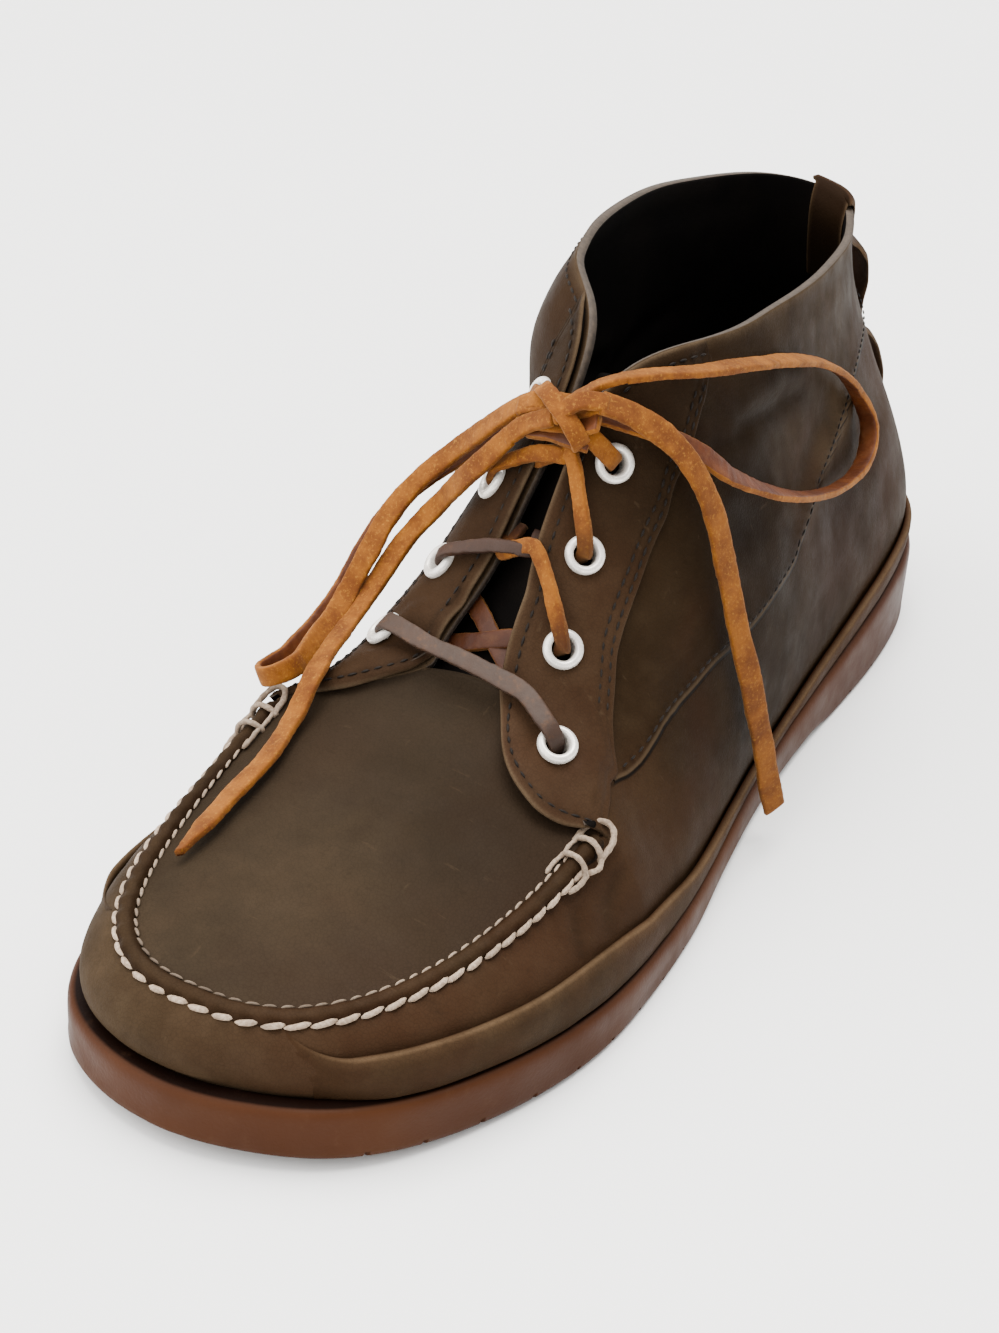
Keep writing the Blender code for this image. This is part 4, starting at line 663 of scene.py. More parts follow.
# ================================================================ creases and seams of the upper
QUARTER_SEAM = [
    # u,     v   outer side: from the end of the raised seam back to the heel
    (0.3262, 0.985), (0.3196, 0.875), (0.3100, 0.700), (0.2975, 0.540), (0.2817, 0.475), (0.2671, 0.431), (0.2571, 0.400),
    (0.2488, 0.388), (0.2379, 0.388), (0.2238, 0.413), (0.2100, 0.438), (0.1913, 0.456), (0.1800, 0.505), (0.1663, 0.565),
    (0.1396, 0.619), (0.1179, 0.660), (0.0946, 0.690), (0.0700, 0.705), (0.0450, 0.715), (0.0200, 0.720), (0.0000, 0.722),
]
CREASES = [
    # name, height (minus for a trough), half width, points (u, v)
    ("ankle fold",        -1.5, 2.6, [(0.2230, 0.790), (0.2104, 0.806), (0.1996, 0.800), (0.1854, 0.794), (0.1646, 0.778)]),
    ("ankle fold lip",     1.0, 4.5, [(0.2180, 0.842), (0.1996, 0.850), (0.1800, 0.840), (0.1620, 0.825)]),
    ("ankle fold small",  -0.8, 1.8, [(0.2330, 0.760), (0.2240, 0.775), (0.2160, 0.770)]),
    ("counter edge",       1.6, 5.0, [(0.1080, 0.655), (0.1260, 0.632), (0.1400, 0.618), (0.1600, 0.590), (0.1750, 0.550), (0.1880, 0.500)]),
    ("behind counter",    -1.0, 5.5, [(0.1350, 0.700), (0.1520, 0.672), (0.1720, 0.630), (0.1880, 0.585)]),
    ("quarter dent",      -1.1, 9.0, [(0.2050, 0.640), (0.2250, 0.600), (0.2350, 0.540)]),
    ("heel bulge",         0.8, 9.0, [(0.0600, 0.450), (0.1100, 0.440), (0.1500, 0.400)]),
    ("flex out 1",        -0.7, 3.0, [(0.3250, 0.700), (0.3350, 0.520), (0.3400, 0.340)]),
    ("flex out 2",        -0.55, 2.6, [(0.3420, 0.720), (0.3500, 0.520), (0.3560, 0.360)]),
    ("toe over sole",      1.7, 8.0, [(0.4850, 0.24), (0.5100, 0.24), (0.5350, 0.24), (0.5650, 0.26), (0.5950, 0.28)]),
    ("toe pucker 1",      -0.5, 1.3, [(0.4005, 0.860), (0.4012, 0.760), (0.4050, 0.590)]),
    ("toe pucker 2",      -0.35, 1.2, [(0.4110, 0.900), (0.4125, 0.760), (0.4120, 0.640)]),
    ("toe pucker 3",      -0.35, 1.3, [(0.4683, 0.950), (0.4640, 0.860), (0.4604, 0.720)]),
    ("toe pucker 4",      -0.25, 1.2, [(0.4780, 0.900), (0.4770, 0.800), (0.4740, 0.700)]),
    ("vamp in 1",         -0.8, 3.4, [(0.6740, 0.720), (0.6640, 0.520), (0.6560, 0.330)]),
    ("vamp in 2",         -0.6, 3.0, [(0.6560, 0.740), (0.6480, 0.540), (0.6420, 0.340)]),
    ("ankle in fold",     -1.3, 3.0, [(0.7850, 0.700), (0.8020, 0.690), (0.8200, 0.668), (0.8380, 0.650)]),
    ("ankle in fold 2",   -0.9, 2.6, [(0.7950, 0.590), (0.8150, 0.585), (0.8350, 0.560)]),
    ("ankle in roll",      0.8, 6.0, [(0.7900, 0.645), (0.8150, 0.635), (0.8380, 0.608)]),
    ("counter in edge",    1.2, 5.0, [(0.8950, 0.655), (0.8750, 0.632), (0.8550, 0.600), (0.8400, 0.550), (0.8280, 0.500)]),
    ("collar roll out",    0.5, 5.0, [(0.0700, 0.900), (0.1100, 0.905), (0.1600, 0.905), (0.2050, 0.900)]),
    ("collar roll in",     0.5, 5.0, [(0.9300, 0.905), (0.8800, 0.915), (0.8300, 0.915), (0.7900, 0.905)]),
]
BLOBS = [
    # attribute, amount, radius, (u, v)    soft patches: painted shade, pale wear with painted highlights, reddish colour
    ("shade",   0.55, 15.0, (0.2060, 0.780)), ("shade",   0.40, 20.0, (0.2250, 0.620)), ("shade",   0.35, 14.0, (0.2180, 0.470)),
    ("shade",   0.30, 18.0, (0.2500, 0.300)), ("shade",   0.30, 14.0, (0.1980, 0.420)), ("shade",   0.25, 20.0, (0.2000, 0.250)),
    ("shade",   0.25, 16.0, (0.3350, 0.300)), ("shade",   0.35, 26.0, (0.7800, 0.300)), ("shade",   0.30, 26.0, (0.7300, 0.300)),
    ("shade",   0.50, 15.0, (0.2300, 0.744)), ("shade",   0.30, 16.0, (0.1500, 0.440)), ("shade",   0.25, 16.0, (0.1200, 0.400)),
    ("wear_and_highlight",  0.55, 7.0,  (0.1360, 0.640)), ("wear_and_highlight",  0.45, 7.0,  (0.1560, 0.600)), ("wear_and_highlight",  0.30, 7.0,  (0.1750, 0.545)),
    ("wear_and_highlight",  0.16, 14.0, (0.1250, 0.880)), ("wear_and_highlight",  0.16, 12.0, (0.1900, 0.690)), ("wear_and_highlight",  0.14, 16.0, (0.0300, 0.880)),
    ("wear_and_highlight",  0.22, 16.0, (0.5400, 0.450)), ("wear_and_highlight",  0.22, 16.0, (0.5650, 0.550)), ("wear_and_highlight",  0.14, 16.0, (0.4900, 0.450)),
    ("wear_and_highlight",  0.20, 14.0, (0.8100, 0.900)), ("wear_and_highlight",  0.15, 16.0, (0.8500, 0.900)),
    ("reddish", 0.30, 22.0, (0.1500, 0.440)), ("reddish", 0.55, 26.0, (0.3350, 0.550)), ("reddish", 0.50, 24.0, (0.3700, 0.550)), ("reddish", 0.42, 20.0, (0.4150, 0.600)),
    ("reddish", 0.30, 16.0, (0.4450, 0.550)), ("reddish", 0.45, 22.0, (0.0500, 0.550)), ("reddish", 0.40, 20.0, (0.0900, 0.350)),
    ("reddish", 0.40, 16.0, (0.0200, 0.850)), ("reddish", 0.25, 18.0, (0.7750, 0.900)),
]


def seam_points(side):
    rows = np.array(QUARTER_SEAM)
    rows = through(np.c_[rows, np.zeros(len(rows))], count=160)[:, :2]
    if side > 0:
        return wrap(np.clip(rows[:, 0], 0, 1), np.clip(rows[:, 1], 0, 0.995))
    f = OUT(rows[:, 0])[:, 1]
    u = np.array([u_of(-1, max(v, 0.5)) if v > 0.5 else 1.0 for v in f])
    u[0] = U_MED
    v = rows[:, 1] * (1 - 0.03 * smooth(rows[:, 0], 0.15, 0.30))
    return wrap(u, np.clip(v, 0, 0.995))


SEAM_LINES = {1: seam_points(1), -1: seam_points(-1)}


def line_uv(rows, count=40):
    rows = np.array(rows, float)
    k = np.linspace(0, 1, len(rows))
    kk = np.linspace(0, 1, count)
    return wrap(pchip(k, rows[:, 0], kk), np.clip(pchip(k, rows[:, 1], kk), 0, 1))


CREASE_LINES = [(h, w, line_uv(rows)) for _, h, w, rows in CREASES]
BLOB_AT = [(key, amount, radius, wrap(np.array([uv[0]]), np.array([uv[1]]))[0]) for key, amount, radius, uv in BLOBS]


def relief(p, soft=1.0):
    """Height added along the normal: the listed creases, then a slight unevenness."""
    h = np.zeros(len(p))
    for height, half, line in CREASE_LINES:
        d, t = distance_to(p, line)
        h += height * np.exp(-(d / half)**2 * 1.6) * np.sin(np.pi * np.clip(t, 0, 1) ** 0.9).clip(0, 1) ** 0.5
    h += 0.34 * noise(p, 26, 3) + 0.16 * noise(p, 11, 5) + 0.05 * noise(p, 4.5, 9)
    return h * soft


def painted(p):
    out = {"shade": np.zeros(len(p)), "wear_and_highlight": np.zeros(len(p)), "reddish": np.zeros(len(p))}
    for key, amount, radius, at in BLOB_AT:
        d = np.linalg.norm(p - at, axis=1)
        out[key] = 1 - (1 - out[key]) * (1 - amount * np.exp(-(d / radius)**2))
    for height, half, line in CREASE_LINES:
        if height < -0.4:
            d, t = distance_to(p, line)
            out["shade"] = 1 - (1 - out["shade"]) * (1 - 0.5 * np.exp(-(d / half)**2 * 3.5) * np.sin(np.pi * t) ** 0.5)
    return out


# ================================================================ eyelet places, from the same tables as the frame
EYELETS = [
    # name,          side,  x,     f,     z
    ("eyelet_out_1",  1,   11.7, 166.0,  93.8),
    ("eyelet_out_2",  1,   13.0, 179.1,  78.2),
    ("eyelet_out_3",  1,   16.2, 192.1,  62.7),
    ("eyelet_out_4",  1,   23.8, 206.4,  49.4),
    ("eyelet_in_1",  -1,  -11.0, 157.5,  99.8),
    ("eyelet_in_2",  -1,  -14.7, 169.9,  83.3),
    ("eyelet_in_3",  -1,  -20.1, 181.1,  66.9),
    ("eyelet_in_4",  -1,  -25.2, 194.9,  54.8),
]
STAYS = [
    # side, section,          start, lobe
    (1,  "collar_front_out",  0.95, None),
    (1,  "corner_out",        0.76, None),
    (1,  "facing1_out",       0.69, None),
    (1,  "facing2_out",       0.68, None),
    (1,  "facing3_out",       0.68, None),
    (1,  "facing4_out",       0.65, None),
    (1,  "throat_out",        0.58, (12.5, 210.0, 51.6)),
    (1,  "wing_out",          0.68, (23.0, 221.0, 45.6)),
    (1,  "seam_end_out",      0.90, (33.0, 215.5, 40.6)),
    (-1, "collar_turn_in",    0.95, None),
    (-1, "corner_in",         0.77, None),
    (-1, "facing1_in",        0.70, None),
    (-1, "facing2_in",        0.66, None),
    (-1, "facing3_in",        0.62, None),
    (-1, "facing4_in",        0.58, None),
    (-1, "throat_in",         0.55, (-9.0, 206.5, 54.2)),
    (-1, "wing_in",           0.68, (-20.0, 217.5, 50.6)),
    (-1, "seam_end_in",       0.90, (-33.5, 214.5, 44.4)),
]
STAY_THICK, STAY_GAP, STAY_ACROSS = 1.6, 0.65, 7


def stay_columns(side):
    rows = [r for r in STAYS if r[0] == side]
    out = []
    for i in range(len(rows)):
        out.append((float(_us[NAMES.index(rows[i][1])]), rows[i][2], rows[i][3]))
        if i + 1 < len(rows):
            um = (out[-1][0] + float(_us[NAMES.index(rows[i + 1][1])])) / 2
            lobe = None
            if rows[i][3] and rows[i + 1][3]:
                m = (np.array(rows[i][3]) + np.array(rows[i + 1][3])) / 2
                lobe = tuple(m + 0.12 * (m - np.asarray(wrap(um, 1.0), float).reshape(3)))
            out.append((um, (rows[i][2] + rows[i + 1][2]) / 2, lobe))
    return out


def stay_base(side):
    grid = []
    for u, v0, lobe in stay_columns(side):
        v = np.linspace(v0, 1.0, 40)
        n = skin_normal(np.full(40, u), np.minimum(v, 0.985))
        line = wrap(np.full(40, u), v) + n * STAY_GAP
        if lobe is not None:
            line = np.vstack([line, np.array(lobe, float) - n[-1] * STAY_THICK])
        arc = np.r_[0, np.cumsum(np.linalg.norm(np.diff(line, axis=0), axis=1))]
        at = np.linspace(0, arc[-1], STAY_ACROSS)
        grid.append(np.stack([np.interp(at, arc, line[:, c]) for c in range(3)], 1))
    return np.array(grid)


def on_stay(side, place):
    g = stay_base(side)
    i, j = np.unravel_index(np.argmin(np.linalg.norm(g - np.array(place), axis=2)), g.shape[:2])
    i, j = int(np.clip(i, 1, g.shape[0] - 2)), int(np.clip(j, 1, g.shape[1] - 2))
    n = unit(np.cross(g[i + 1, j] - g[i - 1, j], g[i, j + 1] - g[i, j - 1]))
    if n[2] < 0:
        n = -n
    place = np.array(place, float)
    flat = g.reshape(-1, 3)
    w = 1.0 / (np.linalg.norm(flat - place, axis=1)**4 + 1e-6)
    near = (flat * w[:, None]).sum(0) / w.sum()
    return place + n * (STAY_THICK - float(np.dot(place - near, n))), n


EYELET_AT = {name: on_stay(side, (x, f, z)) for name, side, x, f, z in EYELETS}


# ================================================================ upper
NV = 66
U_THROAT_OUT, U_THROAT_IN = float(_us[NAMES.index("throat_out")]), float(_us[NAMES.index("throat_in")])
SEAM_STEPS = 64


def upper_columns():
    a = np.linspace(0, U_THROAT_OUT, 150)[:-1]
    b = np.linspace(U_THROAT_OUT, U_LAT, 17)[:-1]
    s = np.linspace(1, -1, 2 * SEAM_STEPS + 1)
    c = u_of_s(s)
    d = np.linspace(U_MED, U_THROAT_IN, 17)[1:]
    e = np.linspace(U_THROAT_IN, 1.0, 150)[1:-1]
    return np.r_[a, b, c, d, e], len(a), len(a) + len(b), len(a) + len(b) + len(c) - 1


def ease(n):
    """Rows up the wall, closer together near the top edge."""
    t = np.linspace(0, 1, n)
    return 1 - (1 - t) ** 1.15


def build_upper():
    us, i_throat, i_lat, i_med = upper_columns()
    vs = ease(NV)
    n = len(us)
    uu, vv = np.meshgrid(us, vs, indexing="ij")
    p = wrap(uu.ravel(), vv.ravel())
    nn = skin_normal(uu.ravel(), np.clip(vv.ravel(), 0.004, 0.985))
    # the leather under the raised seam stays where it is
    top = (1 - vv.ravel())
    hold = smooth(top, 0.0, 0.05) * smooth(vv.ravel(), 0.0, 0.10)
    at_rim = (uu.ravel() < U_LAT - 0.004) | (uu.ravel() > U_MED + 0.004)
    hold = np.where(at_rim, smooth(vv.ravel(), 0.0, 0.10) * (0.35 + 0.65 * smooth(top, 0, 0.06)), hold)
    p = p + nn * (relief(p) * hold)[:, None]
    verts = [p]
    faces = grid_faces(n, NV, ring=True)
    W = lambda i, j: (i % n) * NV + j
    # plug: rows from the toe back to the ends of the raised seam, then on to the throat
    side, mid = 16, 22
    across = 2 * side + mid
    base = n * NV
    rows = [[W(i_lat + SEAM_STEPS, NV - 1)] * (across + 1)]
    count = 0
    extra = []
    qs = np.linspace(1, -1, across + 1)
    for k in range(1, SEAM_STEPS + 1):
        s = k / SEAM_STEPS
        pts = plug_point(np.full(across - 1, s), qs[1:-1])
        row = [W(i_lat + SEAM_STEPS - k, NV - 1)]
        row += list(range(base + count, base + count + across - 1))
        count += across - 1
        extra.append(pts)
        row.append(W(i_lat + SEAM_STEPS + k, NV - 1))
        rows.append(row)
    first = np.vstack([seam(1.0)[None], extra[-1], seam(-1.0)[None]])
    rear_i = [W(i_lat - k, NV - 1) for k in range(side + 1)]
    med_i = [W(i_med + k, NV - 1) for k in range(side + 1)][::-1]
    a, b = p[rear_i[-1]], p[med_i[0]]
    t = np.linspace(0, 1, mid + 1)[1:-1, None]
    between = a * (1 - t) + b * t + np.array([0, -2.5, 0.4]) * np.sin(np.pi * t)
    last = np.vstack([p[rear_i], between, p[med_i]])
    steps = 14
    for k in range(1, steps):
        w = k / steps
        # leave the plug along its own slope, then turn to the throat
        slope = first - np.vstack([seam(0.97)[None], plug_point(np.full(across - 1, 0.97), qs[1:-1]), seam(-0.97)[None]])
        slope = unit(slope) * np.linalg.norm(last - first, axis=1)[:, None] * 0.35
        pts = first * (1 - w)**2 + (first + slope) * 2 * w * (1 - w) + last * w * w
        pts = pts[1:-1]
        row = [rear_i[0]] + list(range(base + count, base + count + across - 1)) + [med_i[-1]]
        count += across - 1
        extra.append(pts)
        rows.append(row)
    lastrow = rear_i + list(range(base + count, base + count + mid - 1)) + med_i
    extra.append(between)
    rows.append(lastrow)
    plug = np.vstack(extra)
    crown = relief_plug(plug)
    plug = plug + np.array([0, 0.25, 0.97]) * crown[:, None]
    for k in range(len(rows) - 1):
        for j in range(across):
            g = []
            for x in (rows[k][j], rows[k][j + 1], rows[k + 1][j + 1], rows[k + 1][j]):
                if x not in g:
                    g.append(x)
            if len(g) > 2:
                faces.append(tuple(g))
    verts = np.vstack([p, plug])
    # holes under the eyelets
    keep = np.ones(len(faces), bool)
    quads = np.array([f if len(f) == 4 else f + (f[-1],) for f in faces])
    mid_pts = verts[quads].mean(1)
    for c, nrm in EYELET_AT.values():
        d = mid_pts - c
        along = d @ nrm
        r = np.linalg.norm(d - along[:, None] * nrm, axis=1)
        keep &= ~((r < 3.3) & (np.abs(along) < 8))
    faces = [f for f, k in zip(faces, keep) if k]
    d_out, t_out = distance_to(verts, SEAM_LINES[1])
    d_in, t_in = distance_to(verts, SEAM_LINES[-1])
    v_all = np.r_[vv.ravel(), np.ones(len(plug))]
    u_all = np.r_[uu.ravel(), np.full(len(plug), U_TOE)]
    out_side = u_all < U_TOE
    path_v = np.where(out_side, np.interp(u_all, SEAM_UV[1][0], SEAM_UV[1][1]), np.interp(u_all, SEAM_UV[-1][0], SEAM_UV[-1][1]))
    d = np.where(out_side, d_out, d_in)
    above = (v_all > path_v) & ((u_all < 0.3262) | (u_all > U_MED - 0.0009))
    signed = np.where(above, d, -d)
    signed[len(p):] = -20
    signed = np.clip(signed, -20, 20)
    paint = painted(verts)
    # painted sheen: the whole plug takes a grey tone. Pale where the leather turns over the rim, and paler at the
    # plug's middle
    paint["grey_sheen"] = np.zeros(len(verts))
    paint["grey_sheen"][len(p):] = 1.0
    # painted shade at the foot of the wall, in the gap above the sole
    foot = np.zeros(len(verts))
    foot[:len(p)] = 0.95 * smooth(0.055 - vv.ravel(), 0.0, 0.04)
    paint["shade"] = np.maximum(paint["shade"], foot)
    rim = np.zeros(len(verts))
    arc = np.linalg.norm(verts[:len(p)].reshape(n, NV, 3) - verts[:len(p)].reshape(n, NV, 3)[:, -1:, :], axis=2).ravel()
    rim[:len(p)] = np.where(at_rim, np.exp(-(arc / 1.6)**2) * 0.55, 0)
    paint["wear_and_highlight"] = np.maximum(paint["wear_and_highlight"], rim)
    # painted light: the wrap is drawn a shade paler than the quarters, as more light falls on it
    paint["wear_and_highlight"][:len(p)] += 0.14 * smooth(verts[:len(p), 1], 168, 214)
    pl = plug
    pale_tone = 0.20 * np.exp(-(((pl[:, 0] + 6) / 26)**2 + ((pl[:, 1] - 262) / 26)**2))
    paint["wear_and_highlight"][len(p):] = np.maximum(paint["wear_and_highlight"][len(p):], pale_tone)
    # painted shade on the plug's outer side
    paint["shade"][len(p):] = np.maximum(paint["shade"][len(p):], 0.32 * np.exp(-(((pl[:, 0] - 16) / 16)**2 + ((pl[:, 1] - 232) / 22)**2)))
    paint["reddish"][len(p):] = np.maximum(paint["reddish"][len(p):], 0.35 * np.exp(-(((pl[:, 0] + 22) / 14)**2 + ((pl[:, 1] - 226) / 18)**2)))
    ob = make("upper_leather", verts, faces, [UPPER, LINING, EDGE], attrs={"seam_d": signed, **paint},
              node="upper", outward=((48, 230, 20), (1, 0, 0.2)))
    thicken(ob, 2.0, -1.0, 1, 2)
    return ob


def relief_plug(p):
    h = 0.30 * noise(p, 30, 13) + 0.12 * noise(p, 12, 15)
    # slight hollow behind the toe and soft flex folds towards the throat
    h = h - 0.5 * np.exp(-(((p[:, 0] + 2) / 22)**2 + ((p[:, 1] - 250) / 16)**2))
    for f, lean, deep, half in ((222, 0.10, -0.45, 3.0), (229, -0.06, 0.30, 3.5), (214, 0.16, -0.35, 2.6)):
        d = p[:, 1] - f - lean * p[:, 0]
        h = h + deep * np.exp(-(d / half)**2) * np.exp(-(p[:, 0] / 24)**2)
    return h


def seam_uv():
    rows = np.array(QUARTER_SEAM)
    o = rows[np.argsort(rows[:, 0])]
    side_in = [(1.0, rows[-1, 1])]
    for u, v in QUARTER_SEAM[::-1]:
        f = float(OUT(np.array([u]))[0, 1])
        ui = U_MED if u > 0.3255 else (1.0 if f < 0.6 else u_of(-1, f))
        side_in.append((ui, v * (1 - 0.03 * float(smooth(u, 0.15, 0.30)))))
    side_in = np.array(side_in)
    side_in = side_in[np.argsort(side_in[:, 0])]
    return {1: (o[:, 0], o[:, 1]), -1: (side_in[:, 0], side_in[:, 1])}


SEAM_UV = seam_uv()

# ================================================================ stays
STAY_GRID = {}
FRONT_EDGE = {
    # along the boot's edge, then the place of the stay's front edge
    1: [
        (0.2828, 5.3, 194.3, 65.7), (0.2870, 5.6, 197.3, 61.3), (0.2917, 6.4, 200.1, 57.9), (0.2971, 7.5, 202.8, 54.5), (0.2996, 11.4, 208.8, 52.2),
        (0.3019, 14.7, 213.8, 50.3), (0.3044, 18.1, 217.3, 48.3), (0.3070, 21.8, 219.6, 46.3), (0.3099, 25.8, 220.8, 44.1), (0.3136, 29.7, 220.6, 42.1),
        (0.3174, 32.8, 219.1, 40.5), (0.3210, 34.9, 217.0, 39.5), (0.3253, 36.7, 214.9, 38.7),
    ],
    -1: [
        (0.7040, -9.6, 199.8, 55.6), (0.7000, -11.6, 202.6, 54.0), (0.6950, -15.6, 205.6, 52.0), (0.6902, -20.3, 208.2, 49.9), (0.6883, -22.8, 209.8, 49.0),
        (0.6856, -26.4, 210.9, 47.4), (0.6823, -30.6, 211.6, 45.6), (0.6783, -35.4, 211.4, 43.4), (0.6738, -39.6, 212.2, 41.4),
    ],
}


def stay_fine(side, n=150, m=64):
    """Outer face of a stay as a fine grid: columns along the facing, rows from its rear edge to its front edge."""
    cols = stay_columns(side)
    us = np.array([c[0] for c in cols])
    v0 = np.array([c[1] for c in cols])
    reach = []
    for u, _, lobe in cols:
        end = np.asarray(wrap(u, 1.0), float).reshape(3)
        nn = skin_normal(np.array([u]), np.array([0.985]))[0]
        reach.append(np.zeros(3) if lobe is None else np.array(lobe, float) - nn * STAY_THICK - (end + nn * STAY_GAP))
    reach = np.array(reach)
    if side in FRONT_EDGE:
        rows = np.array(FRONT_EDGE[side])
        fu = rows[:, 0]
        end = wrap(fu, np.ones(len(fu)))
        nn = skin_normal(fu, np.full(len(fu), 0.985))
        want = rows[:, 1:] - end - nn * (STAY_GAP + STAY_THICK)
        start = fu[0] - 0.0050 * side
        fu, want = np.r_[start, fu], np.vstack([np.zeros(3), want])
        fo = np.argsort(fu)
        fu, want = fu[fo], want[fo]
    order = 1 if us[-1] > us[0] else -1
    uu = np.linspace(0, 1, n)
    uu = us[0] + (us[-1] - us[0]) * uu
    su, sv, sr = us[::order], v0[::order], reach[::order]
    grid = []
    for u in uu:
        a = float(pchip(su, sv, u))
        inside = fu[0] <= u <= fu[-1]
        d = np.array([float(pchip(fu, want[:, c], u)) for c in range(3)]) if inside else (np.zeros(3) if (u - fu[0]) * side < 0 else want[-1 if side > 0 else 0])
        v = np.linspace(a, 1.0, 90)
        nn = skin_normal(np.full(90, u), np.minimum(v, 0.985))
        line = wrap(np.full(90, u), v) + nn * (STAY_GAP + STAY_THICK)
        long = np.linalg.norm(d)
        if long > 0.3:
            t = np.linspace(0, 1, 40)[1:, None]
            # turns gently from the wall's slope to the lobe
            line = np.vstack([line, line[-1] + d * t])
        arc = np.r_[0, np.cumsum(np.linalg.norm(np.diff(line, axis=0), axis=1))]
        fine = np.linspace(0, arc[-1], 220)
        q = np.stack([np.interp(fine, arc, line[:, c]) for c in range(3)], 1)
        width = max(3, int(3.5 / max(fine[1], 1e-3)))
        kernel = np.hanning(2 * width + 1)
        kernel /= kernel.sum()
        pad = np.vstack([2 * q[0] - q[width:0:-1], q, 2 * q[-1] - q[-2:-width - 2:-1]])
        q = np.stack([np.convolve(pad[:, c], kernel, "valid") for c in range(3)], 1)
        t = 0.5 - 0.5 * np.cos(np.linspace(0, np.pi, m))
        t = 0.55 * t + 0.45 * np.linspace(0, 1, m)
        at = t * fine[-1]
        grid.append(np.stack([np.interp(at, fine, q[:, c]) for c in range(3)], 1))
    grid = np.array(grid)
    # even out the run along the facing
    for _ in range(3):
        grid[1:-1] = (grid[:-2] + 2 * grid[1:-1] + grid[2:]) / 4
    return grid


def grid_normals(g):
    a = np.gradient(g, axis=0)
    b = np.gradient(g, axis=1)
    n = unit(np.cross(a, b))
    if n[..., 2].mean() < 0:
        n = -n
    return n


def build_stay(side):
    g = stay_fine(side)
    n, m, _ = g.shape
    nn = grid_normals(g)
    STAY_GRID[side] = (g, nn)
    arc = np.concatenate([np.zeros((n, 1)), np.cumsum(np.linalg.norm(np.diff(g, axis=1), axis=2), axis=1)], 1)
    front = arc[:, -1:] - arc
    rear = arc
    along = np.concatenate([np.zeros((1, m)), np.cumsum(np.linalg.norm(np.diff(g, axis=0), axis=2), axis=0)], 0)
    low = along[-1:] - along
    edge = np.minimum(np.minimum(front, rear), np.minimum(low, along))
    drop = 0.55 * (1 - np.sqrt(np.clip(1 - (1 - np.clip(edge / 0.9, 0, 1))**2, 0, 1)))
    p = g.reshape(-1, 3)
    h = 0.20 * noise(p, 16, 21) + 0.08 * noise(p, 6, 23)
    # rows of stitching pull the leather in
    for d, row in ((front, 3.0), (rear, 1.9), (rear, 4.3)):
        h = h - 0.14 * np.exp(-((d.ravel() - row) / 0.8)**2)
    # dished round each eyelet
    for c, nrm in EYELET_AT.values():
        r = np.linalg.norm(p - c, axis=1)
        h = h - 0.22 * np.exp(-((r - 4.8) / 1.6)**2)
    if side < 0:
        # folded and crumpled by the lace beside the third eyelet
        for line, height, half in (([(-24, 189, 62), (-17, 188, 67), (-9, 190, 64)], -1.0, 2.4), ([(-25, 199, 55), (-17, 199, 57), (-11, 200, 56)], -0.8, 2.4),
                                   ([(-22, 193.5, 60), (-14, 194, 61.5)], 0.8, 3.0)):
            d, t = distance_to(p, np.array(line, float))
            h = h + height * np.exp(-(d / half)**2)
    sink = 1.75 * (1 - smooth(along, 0.5, 11.0)) * (1 - 0.35 * smooth(rear, 4, 10))
    low_end = (1 - smooth(p[:, 2], 42, 52)) * (1.0 if side > 0 else 0.0)
    p = p + nn.reshape(-1, 3) * (h - drop.ravel() - sink.ravel() - 1.6 * low_end * (1 - smooth(rear.ravel(), 0.5, 6.0)))[:, None]
    faces = grid_faces(n, m)
    centre = p[np.array(faces)].mean(1)
    keep = np.ones(len(faces), bool)
    for c, nrm in EYELET_AT.values():
        d = centre - c
        al = d @ nrm
        keep &= ~((np.linalg.norm(d - al[:, None] * nrm, axis=1) < 3.1) & (np.abs(al) < 6))
    faces = [f for f, k in zip(faces, keep) if k]
    # pale edges and a paler lower part; painted shade along the rows of stitching
    pale_mask = 0.75 * np.exp(-(front.ravel() / 0.75)**2) + 0.35 * np.exp(-(low.ravel() / 0.9)**2) + 0.25 * np.exp(-(rear.ravel() / 0.5)**2) * (1 - low_end) + 0.17 * smooth(along.ravel(), 42, 66) * (1.0 if side > 0 else 0.4)
    shade = 0.35 * np.exp(-((front.ravel() - 3.0) / 0.7)**2) + (0.25 * np.exp(-((rear.ravel() - 1.9) / 0.6)**2) + 0.25 * np.exp(-((rear.ravel() - 4.3) / 0.6)**2)) * (1 - low_end)
    red = 0.48 * smooth(along.ravel(), 38, 60) * (1 if side > 0 else 0.6)
    out = make("eyestay_fine_out" if side > 0 else "eyestay_fine_in", p, faces, [STAY, LINING, EDGE],
               attrs={"wear_and_highlight": np.clip(pale_mask, 0, 1), "shade": shade, "reddish": red},
               node="eyestay_out" if side > 0 else "eyestay_in", outward=((16 * side, 187, 72), (0.5 * side, 0.3, 0.8)))
    thicken(out, STAY_THICK, -1.0, 1, 2)
    return out


# ================================================================ stitches
def capsule(a, b, n, radius, sides=7, rings=6, flat=0.85, bulge=0.35):
    """One stitch from a to b, lifted a little along n at its middle."""
    a, b, n = np.asarray(a, float), np.asarray(b, float), unit(n)
    d = unit(b - a)
    w = unit(np.cross(d, n))
    up = unit(np.cross(w, d))
    if up @ n < 0:
        up = -up
    t = np.linspace(0, 1, rings)
    r = radius * np.sqrt(np.clip(1 - (2 * t - 1)**4, 0.10, 1))
    out = []
    for k in range(rings):
        c = a + (b - a) * t[k] + up * bulge * radius * 4 * t[k] * (1 - t[k])
        ang = np.linspace(0, 2 * np.pi, sides, endpoint=False)
        out.append(c + w * (np.cos(ang) * r[k])[:, None] + up * (np.sin(ang) * r[k] * flat)[:, None])
    return np.vstack(out), tube_faces(rings, sides)


def joined(parts):
    verts, faces, base = [], [], 0
    for v, f in parts:
        verts.append(v)
        faces += [tuple(i + base for i in g) for g in f]
        base += len(v)
    return np.vstack(verts), faces


